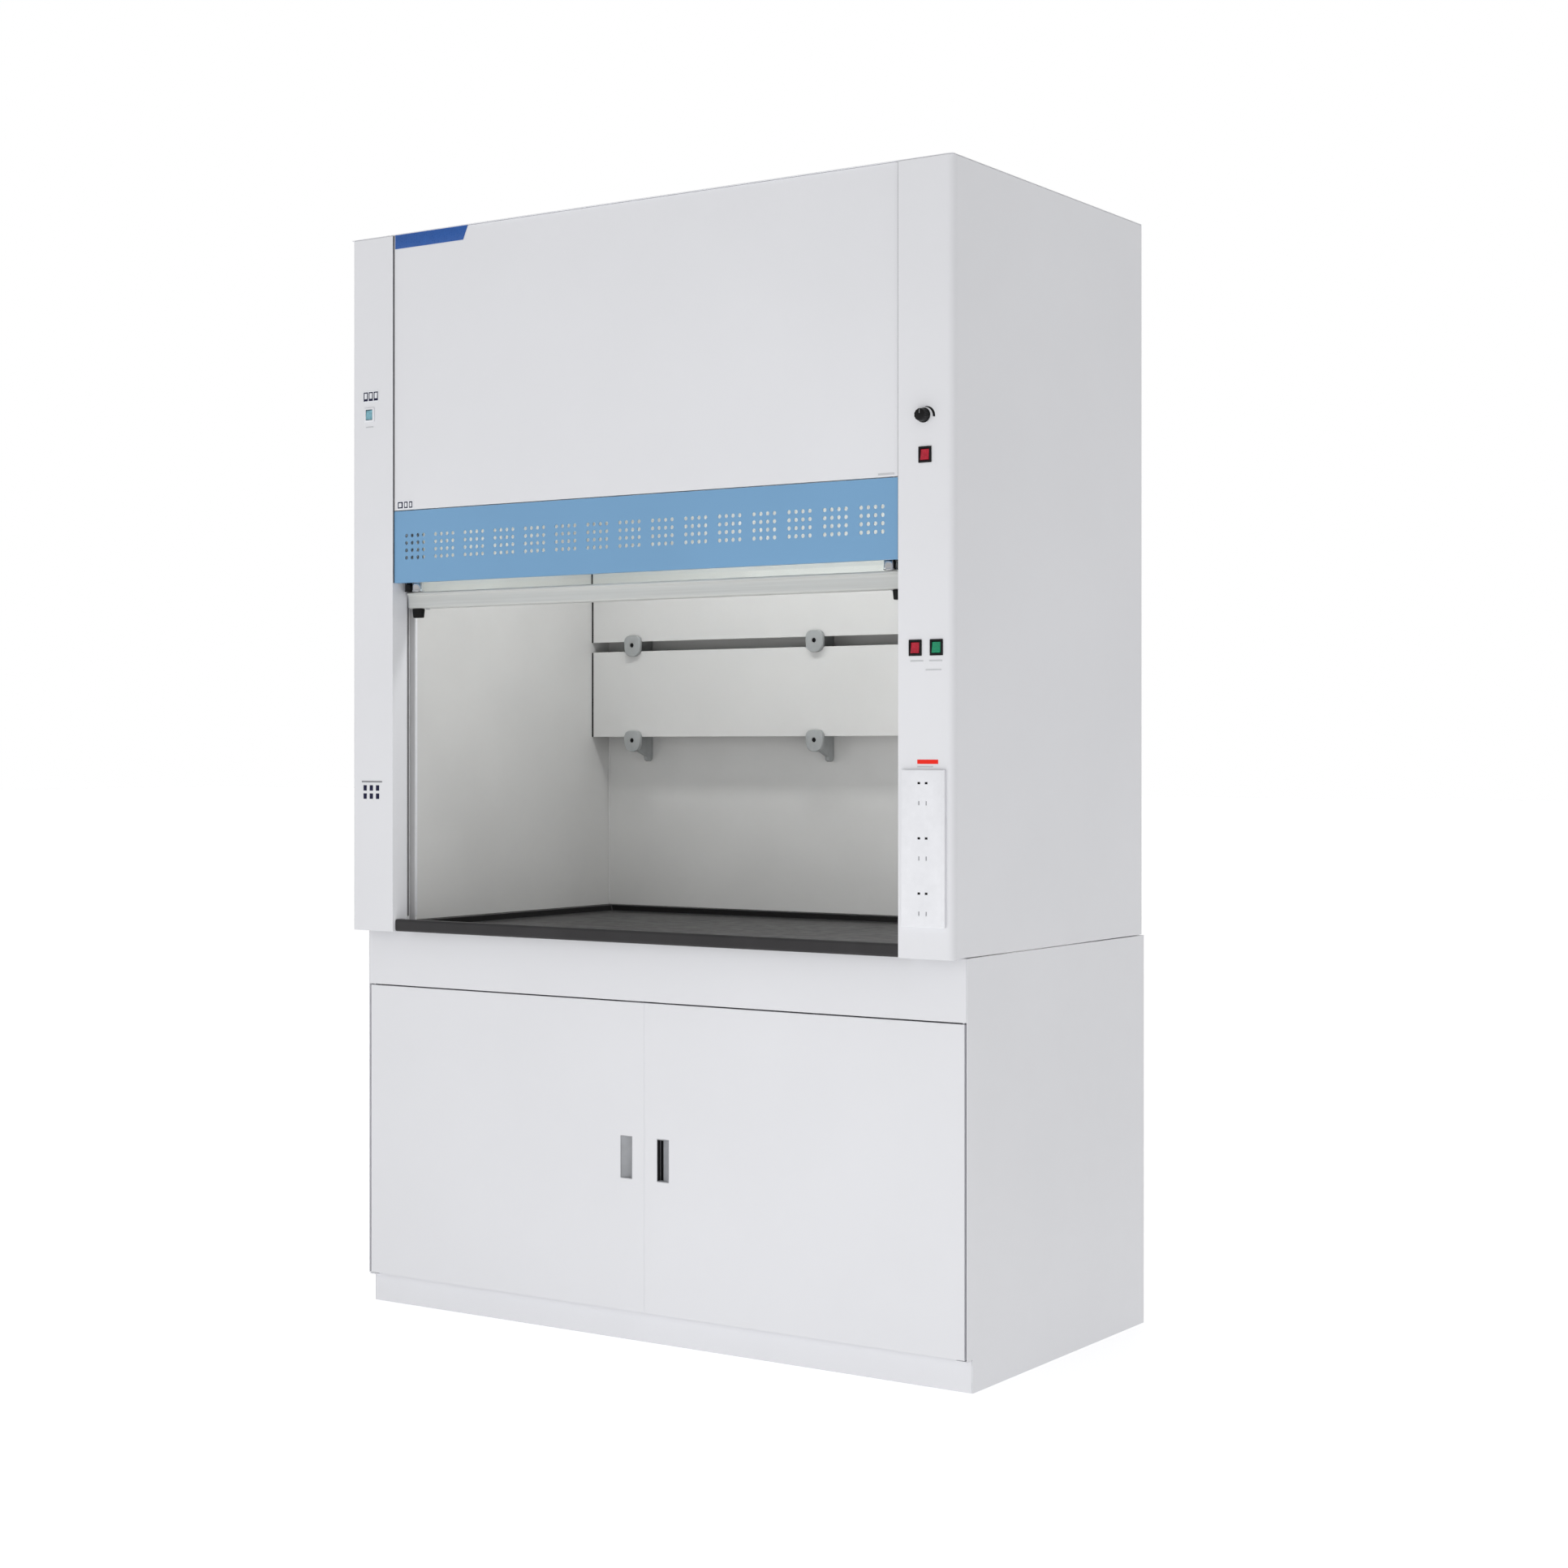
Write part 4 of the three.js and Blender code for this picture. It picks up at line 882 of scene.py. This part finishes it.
RAIL_TOP = limits("sash_frame")[0][2] - 0.5
RAIL_BOTTOM = limits("sash_handle_rail")[0][2]
RAIL_HALF, RAIL_BACK, RAIL_PEAK = limits("sash_handle_rail")[1]
GLASS_LOW, GLASS_HIGH = limits("sash_glass")
END_CAP = 3
BARREL_TOP = RAIL_TOP + 54
# x, s, radius and top of the barrels on each end of the rail
BARRELS = {
    "rope_socket_": (592.5, 39, 13.5, BARREL_TOP, chrome),
    "sash_buffer_": (617.8, 38.5, 9.8, BARREL_TOP - 2, gloss_black),
}
BUMPER_X, BUMPER_S, BUMPER_DEEP, BUMPER_TAPER = (591, 618.5), (49, 62), 20, 0.86
PLUG = [(0, -0.1), (5, -0.1), (4.6, -1.6), (2, -2.4), (0, -2.4)]
PLUG_X, PLUG_S = 585, 64
STILE = (601.5, 604)
STRIPS_S = ((59.2, 62.6), (69.4, 72.8))
TRACK_Z = (862, 1588)
# thickness, place across the track, rounding, its segments and material of the lips' dressings
TRACK_LIPS = (
    ("track_seal_", 0.9, (48.8, 54), 0.3, 1, seal_grey),
    ("track_trim_", 1.4, (76.5, 81.8), 0.5, 2, white_plastic),
)


def barrel(radius, bottom, top):
    """Profile of a turned barrel: a thin foot, a straight wall and a domed top."""
    foot = [(0, bottom), (radius - 0.6, bottom), (radius, bottom + 0.6), (radius, bottom + 3)]
    wall = [(radius - 0.8, bottom + 3.6), (radius - 0.8, top - 3.6)]
    return foot + wall + [(radius - 1.6, top - 1.8), (radius - 3.2, top - 0.5), (radius - 5, top), (0, top)]


def rail_outline():
    """The rail's section: a rounded lip at the top, a face that leans back, and a rolled lower edge."""
    points = arc(45.5, RAIL_TOP - 3.5, 3.5, 90, 22.5, 9)
    points += [(46.6, RAIL_TOP - 9.5), (47.4, RAIL_TOP - 14), (48.4, RAIL_BOTTOM + 8)]
    points += arc(54.5, RAIL_BOTTOM + 6, 6, 180, 15, 6)
    points += [(55, RAIL_BOTTOM), (74, RAIL_BOTTOM)]
    points += arc(RAIL_BACK - 3, RAIL_BOTTOM + 3, 3, -67.5, 22.5, 4)
    return points + arc(RAIL_BACK - 3, RAIL_TOP - 3, 3, 0, 22.5, 5)


bm = fresh(prism, rail_outline(), "x", -RAIL_HALF + END_CAP, RAIL_HALF - END_CAP)
groove_x, groove_s = (GLASS_LOW[0] - 1, GLASS_HIGH[0] + 1), (GLASS_LOW[1] - 0.4, GLASS_HIGH[1] + 0.4)
bm = combine(bm, fresh(block, groove_x, groove_s, (GLASS_LOW[2] - 1, RAIL_TOP + 5)))
make("sash_rail_extrusion", bm, rail_satin, "sash", ("sash_handle_rail",), sharp=30)

for side, sign in SIDES:
    ends = sorted((sign * (RAIL_HALF - END_CAP + 0.1), sign * RAIL_HALF))
    bm = fresh(prism, rail_outline(), "x", *ends)
    soften(bm, 0.5, 2, 50)
    make("sash_rail_cap_" + side, bm, pull_grey, "sash")
    # Rope socket: a chromed barrel that clamps the rope to the rail, beside a round rubber buffer.
    for name, (x, s, radius, top, material) in BARRELS.items():
        bm = fresh(lathe, barrel(radius, RAIL_TOP + 0.2, top), "z", (sign * x, s, 0), 40)
        make(name + side, bm, material, "sash", sharp=30)
    # Rubber bumper under the rail's end, tapered downwards.
    bumper_z = (RAIL_BOTTOM - BUMPER_DEEP, RAIL_BOTTOM - 0.1)
    bm = fresh(block, [sign * x for x in BUMPER_X], BUMPER_S, bumper_z)
    middle = at(sign * sum(BUMPER_X) / 2, sum(BUMPER_S) / 2, 0)
    for vertex in bm.verts:
        if vertex.co.z < (RAIL_BOTTOM - BUMPER_DEEP / 2) * MM:
            vertex.co.x = middle.x + (vertex.co.x - middle.x) * BUMPER_TAPER
            vertex.co.y = middle.y + (vertex.co.y - middle.y) * BUMPER_TAPER
    soften(bm, 2, 3)
    make("sash_bumper_" + side, bm, rubber, "sash")
    bm = fresh(lathe, PLUG, "z", (sign * PLUG_X, PLUG_S, RAIL_BOTTOM), 24)
    make("rail_plug_" + side, bm, pull_grey, "sash")
    # Glazing strips along the stiles.
    bm = bmesh.new()
    for s in STRIPS_S:
        block(bm, [sign * x for x in STILE], s, (RAIL_TOP + 1, GLASS_HIGH[2] - 18))
    soften(bm, 0.4, 1)
    make("glazing_strips_" + side, bm, glazing_grey, "sash")
    # A grey seal on the front lip, its dark grey partly painted shade of the lip, and a white trim on the
    # back lip of the track.
    track_low, track_high = limits("sash_track_" + side)
    face = track_high[0] if sign < 0 else track_low[0]
    for name, thick, s, radius, segments, material in TRACK_LIPS:
        x = (face + sign * 0.1, face - sign * thick)
        rounded_block(name + side, x, s, TRACK_Z, radius, material, segments=segments)

# -------- balance

PULLEY_X, PULLEY_Z, PULLEY_PITCH = 642.5, 2272, 47.5
ROPE_X, ROPE_S, ROPE_R = 595, 38, 2.5
GROOVE_R, GROOVE_STEPS = 2.7, 8
WRAP_STEPS, RUN_STEPS = 24, 60
# Half of the pulley's web and hub as (radius, along the axle), from the rim inwards.
WEB = [(40, 6), (38, 3), (17, 3), (15, 6), (12, 9), (6.2, 9)]
AXLE = [(0, -10), (5.8, -10), (5.8, 13), (9, 13), (9, 16), (0, 16)]


def run(top, bottom):
    """Evenly spaced places down a straight run of rope."""
    return [top.lerp(bottom, i / RUN_STEPS) for i in range(RUN_STEPS + 1)]


for side, sign in SIDES:
    node = "pulley_" + side
    low, high = limits(node)
    outer = (high[0] - low[0]) / 2
    centre = centre_of(node)
    profile = [(outer - 1, -6), (outer, -5.4), (outer - 1.2, -4.6)]
    profile += arc(PULLEY_PITCH, 0, GROOVE_R, -90, -180 / GROOVE_STEPS, GROOVE_STEPS + 1)
    profile += [(outer - 1.2, 4.6), (outer, 5.4), (outer - 1, 6)]
    profile += WEB + [(r, -h) for r, h in reversed(WEB)] + profile[:1]
    bm = fresh(lathe, profile, "y", centre, 72)
    make(node + "_turned", bm, nylon, node, (node,), sharp=30)
    make("pulley_pin_" + side, fresh(lathe, AXLE, "y", centre, 32), steel_bar)

    dress("counterweight_" + side, iron, 1.5, 3)

    node = "sash_rope_" + side
    top = at(sign * ROPE_X, ROPE_S, PULLEY_Z)
    bottom = at(sign * ROPE_X, ROPE_S, RAIL_PEAK + 1)
    bm = fresh(sweep, run(top, bottom), ROPE_R)
    rope = make(node + "_wound", bm, rope_wire, None, (node,))
    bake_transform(rope)

    # The weight's rope goes half round the pulley and down to the weight.
    node = "weight_rope_" + side
    wrap = arc(PULLEY_X, PULLEY_Z + 0.5, PULLEY_PITCH, 180, -180 / WRAP_STEPS, WRAP_STEPS + 1)
    points = [at(sign * x, ROPE_S, z) for x, z in wrap]
    outer_x = sign * (PULLEY_X + PULLEY_PITCH)
    top = at(outer_x, ROPE_S, PULLEY_Z)
    bottom = at(outer_x, ROPE_S, limits("counterweight_" + side)[1][2] + 0.5)
    bm = fresh(sweep, points + run(top, bottom)[1:], ROPE_R)
    rope = make(node + "_wound", bm, rope_wire, None, (node,))
    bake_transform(rope)

# -------- controls

BODY_HALF, WELL_HALF, WELL_FLOOR = (11, 13), (9.5, 11.5), 9
ROCKER_STEPS, ROCKER_DISH = 12, 5.4 * 0.52
SWITCHES = {
    "fan": (rocker_red, "rocker_red"),
    "power": (rocker_red, "rocker_red"),
    "light": (rocker_green, "rocker_green"),
    "aux": (rocker_teal, "rocker_teal"),
}
PALE_HOUSING = "aux"


def spread(x, z, half):
    """The x and z limits of a rectangle round a point."""
    return (x - half[0], x + half[0]), (z - half[1], z + half[1])


for name, (lens, lens_slot) in SWITCHES.items():
    node = "switch_housing_" + name
    low, high = limits(node)
    x, _, z = centre_of(node)
    bm = fresh(block, (low[0], high[0]), (low[1], -0.3), (low[2], high[2]))
    soften(bm, 1.1, 3)
    body_x, body_z = spread(x, z, BODY_HALF)
    bm = combine(bm, fresh(block, body_x, (-1, high[1]), body_z), "UNION")
    well_x, well_z = spread(x, z, WELL_HALF)
    bm = combine(bm, fresh(block, well_x, (low[1] - 2, WELL_FLOOR), well_z))
    housing, slot = black_plastic, "black"
    if name == PALE_HOUSING:
        # Its well's faces are a dark teal, painted shade that gives the pale rocker in it a grey outline.
        housing, slot = [white_plastic, smoked_teal], "socket"
        for face in bm.faces:
            off = face.calc_center_median() - at(x, low[1] + 0.4, z)
            beside = abs(off.x) < (WELL_HALF[0] + 0.1) * MM
            if beside and abs(off.z) < (WELL_HALF[1] + 0.1) * MM and off.y > 0:
                face.material_index = 1
    make(node + "_moulded", bm, housing, replaces=(node,), sharp=30)

    node = "rocker_" + name
    low, high = limits(node)
    half, z = (high[2] - low[2]) / 2, centre_of(node)[2]
    section = [(0.5, z + half), (6.5, z + 5), (6.5, z - 5), (0.5, z - half)]
    for i in range(ROCKER_STEPS + 1):
        share = i / ROCKER_STEPS
        section.append((low[1] + ROCKER_DISH * (1 - (1 - share) ** 2), z - half + 2 * half * share))
    bm = fresh(prism, section, "x", low[0], high[0])
    soften(bm, 0.5, 2, 40)
    make(node + "_lens", bm, lens, node, (node,), sharp=30)

# Speed knob: a skirt, a fluted grip with a chamfered top, and an inlaid pointer.
low, high = limits("speed_knob")
KNOB_X, _, KNOB_Z = centre_of("speed_knob")
KNOB_FRONT, SPINDLE_END = low[1], high[1]
FLUTES, KNOB_STEPS = 12, 144
GRIP = (  # s, radius, depth of the flutes
    (-2.6, 13.0, 0.8),
    (-4, 12.8, 0.9),
    (KNOB_FRONT + 2.4, 11.9, 0.9),
    (KNOB_FRONT + 1.2, 11.5, 0.7),
    (KNOB_FRONT + 0.4, 10.8, 0.4),
    (KNOB_FRONT, 10.0, 0.1),
)
SKIRT = [(0, -0.7), (14.2, -0.7), (14.2, -1.8), (13.8, -2.5), (12.8, -3.2), (0, -3.2)]
SPINDLE = [(0, -1.5), (4, -1.5), (4, SPINDLE_END - 0.5), (3.5, SPINDLE_END), (0, SPINDLE_END)]


def on_dial(radius, turn):
    """x and z of a point round the knob's axis."""
    return KNOB_X + radius * math.cos(turn), KNOB_Z + radius * math.sin(turn)


bm = bmesh.new()
rings = []
for s, radius, depth in GRIP:
    ring = []
    for i in range(KNOB_STEPS):
        turn = 2 * math.pi * i / KNOB_STEPS
        x, z = on_dial(radius - depth * max(0.0, math.cos(FLUTES * turn)) ** 2, turn)
        ring.append(bm.verts.new(at(x, s, z)))
    rings.append(ring)
skin(bm, rings)
bm.faces.new(rings[0])
bm.faces.new(list(reversed(rings[-1])))
bmesh.ops.recalc_face_normals(bm, faces=bm.faces)
for profile, steps in ((SKIRT, 96), (SPINDLE, 32)):
    bm = combine(bm, fresh(lathe, profile, "y", (KNOB_X, 0, KNOB_Z), steps), "UNION")
slot_x, slot_s = (KNOB_X - 0.9, KNOB_X + 0.9), (KNOB_FRONT - 1, KNOB_FRONT + 0.8)
bm = combine(bm, fresh(block, slot_x, slot_s, (KNOB_Z + 2, KNOB_Z + 14)))
make("speed_knob_moulded", bm, black_plastic, "speed_knob", ("speed_knob",), sharp=35)
pointer_x, pointer_s = (KNOB_X - 0.8, KNOB_X + 0.8), (KNOB_FRONT + 0.2, KNOB_FRONT + 0.75)
pointer_z = (KNOB_Z + 2.2, KNOB_Z + 9.8)
rounded_block("speed_knob_pointer", pointer_x, pointer_s, pointer_z, 0.15, label_grey, "speed_knob")

# Dial arc: a crescent printed round the knob that widens clockwise.
ARC_STEPS, ARC_START, ARC_SWEEP = 28, 80, 90
outer_arc, inner_arc = [], []
for i in range(ARC_STEPS + 1):
    share = i / ARC_STEPS
    turn = math.radians(ARC_START - ARC_SWEEP * share)
    radius = 15.6 + 4.2 * share
    width = 1.2 + 3.8 * math.sin(math.pi * min(share, 0.92) / 1.84) ** 1.2
    outer_arc.append(on_dial(radius + width, turn))
    inner_arc.append(on_dial(radius, turn))
make("dial_arc", fresh(prism, outer_arc + inner_arc[::-1], "y", -0.45, -0.15), black_plastic)

STUCK = 0.12  # gap behind a printed or stuck-on mark


def plates(name, boxes, material, surface=0.0, thick=0.35):
    """Thin printed or stuck-on marks on a front face at s = surface. boxes are (x0, x1, z0, z1)."""
    bm = bmesh.new()
    for a, b, c, d in boxes:
        block(bm, (a, b), (surface - STUCK - thick, surface - STUCK), (c, d))
    soften(bm, 0.12, 1)
    make(name, bm, material)


# Plain marks where the real hood carries printed words: no lettering.
LABEL_THICK, CELL_THICK = 0.5, 0.2
switch_marks = [(659, 687, 1393.5, 1396.5), (700, 728, 1393.5, 1396.5), (692, 726, 1376.5, 1379)]
plates("switch_marks", switch_marks, print_pale)
plates("socket_warning_bar", [(674, 719, 1199.8, 1208)], label_red)
plates("socket_mark", [(674, 708, 1193.5, 1196)], print_pale)
cells = [(-715 + i * 14.6, -703 + i * 14.6, 1992.5, 2012) for i in range(3)]
faces = [(a + 2.8, b - 2.2, c + 5, d - 2.5) for a, b, c, d in cells]
plates("indicator_label", [(-717, -671.8, 1990.5, 2014)], label_white, 0, LABEL_THICK)
plates("indicator_cells", cells, label_ink, -0.6, CELL_THICK)
plates("indicator_faces", faces, label_white, -0.9, CELL_THICK)
plates("rocker_mark", [(-709, -687, 1934, 1936.5)], print_pale)
plates("vent_line", [(-721, -662, 1155, 1158.6)], label_grey)
FASCIA = 4
marks = [(a, b, 1752.5, 1766.5) for a, b in ((-620, -606), (-602, -592), (-588, -579))]
faces = [(a, b, 1755, 1764) for a, b in ((-617, -609), (-600, -594), (-586, -581))]
plates("fascia_label", [(-622, -576, 1750, 1769)], label_white, FASCIA, LABEL_THICK)
plates("fascia_label_marks", marks, label_ink, FASCIA - 0.6, CELL_THICK)
plates("fascia_label_faces", faces, label_white, FASCIA - 0.9, CELL_THICK)
plates("fascia_mark", [(586, 622, 1752, 1756)], print_pale, FASCIA, 0.25)

# Deep blue accent plate at the top left of the fascia, with a slanted right end.
accent = [(-627, 2318.5), (-437, 2318.5), (-424, 2349), (-627, 2349)]
bm = fresh(prism, accent, "y", FASCIA - 1.4, FASCIA - 0.15)
soften(bm, 0.4, 2)
make("accent_plate", bm, label_blue)

# Painted shade: dark strips in the gaps between the posts and the fascia and grille.
GAP_SHADE_X, GAP_SHADE_S = (630.7, 631.9), (1.6, 5.4)
gap_shade_z = (GRILLE_FOOT + 0.5, limits("fascia_panel")[1][2] - 1)
for side, sign in SIDES:
    x = [sign * edge for edge in GAP_SHADE_X]
    rounded_block("fascia_gasket_" + side, x, GAP_SHADE_S, gap_shade_z, 0.2, gasket_grey, segments=1)

# Six vent slots in the left post, as flat dark plates: painted shade of the openings.
bm = bmesh.new()
for x in (-716, -698, -680):
    for z in (1119, 1137):
        block(bm, (x, x + 9.5), (-0.55, -0.12), (z, z + 12))
soften(bm, 0.2, 1)
make("vent_slots", bm, label_ink)

# -------- socket panel

low, high = limits("socket_panel")
middle, plate_front = centre_of("socket_panel")[0], low[1]
OUTLETS = [(middle + side * 7.9, 954.5 + i * 104.5) for i in range(3) for side in (-1, 1)]
PIN_HOLE, BLADE_HOLE, BLADE_DOWN = (3, 2.2), (1.1, 4), 38
HOLE_DEPTH = (plate_front - 1, 10)


def socket_holes(bm, half, down, s):
    """Adds a block in the same place of every outlet."""
    for x, z in OUTLETS:
        hole_x, hole_z = spread(x, z - down, half)
        block(bm, hole_x, s, hole_z)


bm = fresh(block, (low[0], high[0]), (plate_front, -0.3), (low[2], high[2]))
soften(bm, 1.6, 3)
box = fresh(block, (middle - 36, middle + 36), (-2, high[1]), (low[2] + 12, high[2] - 12))
bm = combine(bm, box, "UNION")
cutters = fresh(socket_holes, PIN_HOLE, 0, HOLE_DEPTH)
socket_holes(cutters, BLADE_HOLE, BLADE_DOWN, HOLE_DEPTH)
bm = combine(bm, cutters)
make("socket_panel_moulded", bm, white_plastic, replaces=("socket_panel",), sharp=30)
bm = fresh(socket_holes, (2.9, 2.1), 0, (plate_front + 0.8, plate_front + 2))
make("socket_shutters_upper", bm, black_plastic)
bm = fresh(socket_holes, (1.0, 3.9), BLADE_DOWN, (plate_front + 1, plate_front + 2))
make("socket_shutters_lower", bm, label_grey)

# -------- floor and light

ROOM_DIM = 0.47  # brightness of the room in front of the hood
FLOOR_GLOW = 0.48
FLOOR_COLOUR = (0.93, 0.93, 0.935)


def floor_finish():
    """Seamless pale floor, faintly lit from within."""
    pale = Surface("floor_pale", Emission_Color=(1, 1, 1, 1), Emission_Strength=FLOOR_GLOW)
    pale.colour(pale.mix(pale.cloud(0.5, 2), tint(FLOOR_COLOUR, 0.995), FLOOR_COLOUR))
    pale.rough(pale.noise(3, 2), 0.8, 0.85)
    return pale.material


bm = bmesh.new()
bmesh.ops.create_grid(bm, x_segments=2, y_segments=2, size=60)
floor = make("floor", bm, floor_finish(), body=None)
floor.location.z = -0.0005

# A white studio: bright behind the hood, dimmer in front of it, so that its faces are evenly modelled.
BACKDROP = (-0.578, 0.816, 0.0)
world = bpy.data.worlds.new("studio")
scene.world = world
world.use_nodes = True
nodes, links = world.node_tree.nodes, world.node_tree.links
toward = nodes.new("ShaderNodeVectorMath")
toward.operation = "DOT_PRODUCT"
toward.inputs[1].default_value = BACKDROP
links.new(nodes.new("ShaderNodeTexCoord").outputs["Generated"], toward.inputs[0])
fade = map_range(nodes, links, toward.outputs["Value"], 0.3, 0.85, ROOM_DIM, 1.0)
# The backdrop itself is plain white from every side.
seen = nodes.new("ShaderNodeMath")
seen.operation = "MAXIMUM"
links.new(fade, seen.inputs[0])
links.new(nodes.new("ShaderNodeLightPath").outputs["Is Camera Ray"], seen.inputs[1])
background = nodes["Background"]
background.inputs["Color"].default_value = (1.0, 1.0, 1.0, 1)
links.new(seen.outputs["Value"], background.inputs["Strength"])


def soft_light(name, place, target, size, power):
    """A softbox in metres and watts."""
    data = bpy.data.lights.new(name, "AREA")
    data.shape = "RECTANGLE"
    data.size, data.size_y = size
    data.energy = power
    light = bpy.data.objects.new(name, data)
    light.location = place
    light.rotation_euler = (Vector(target) - Vector(place)).to_track_quat("-Z", "Y").to_euler()
    scene.collection.objects.link(light)
    return light


key = soft_light("key_light", (0.95, -2.7, 0.75), (0.3, -0.4, 0.8), (1.4, 1.2), 9)
fill = soft_light("fill_light", (-1.1, -3.6, 2.0), (0.6, -0.4, 1.8), (1.3, 1.3), 10)
wall_fill = soft_light("wall_fill", at(612, 330, 1080), at(-630, 520, 900), (0.5, 0.4), 1.7)
for lamp in (key, fill, wall_fill):
    # A softbox shows neither in the picture nor as a hard-edged patch in the sash glass.
    lamp.visible_camera = False
    lamp.visible_glossy = False
soft_light("chamber_light", at(0, 300, CEILING - 4), at(0, 310, 1400), (0.95, 0.12), 4.1)
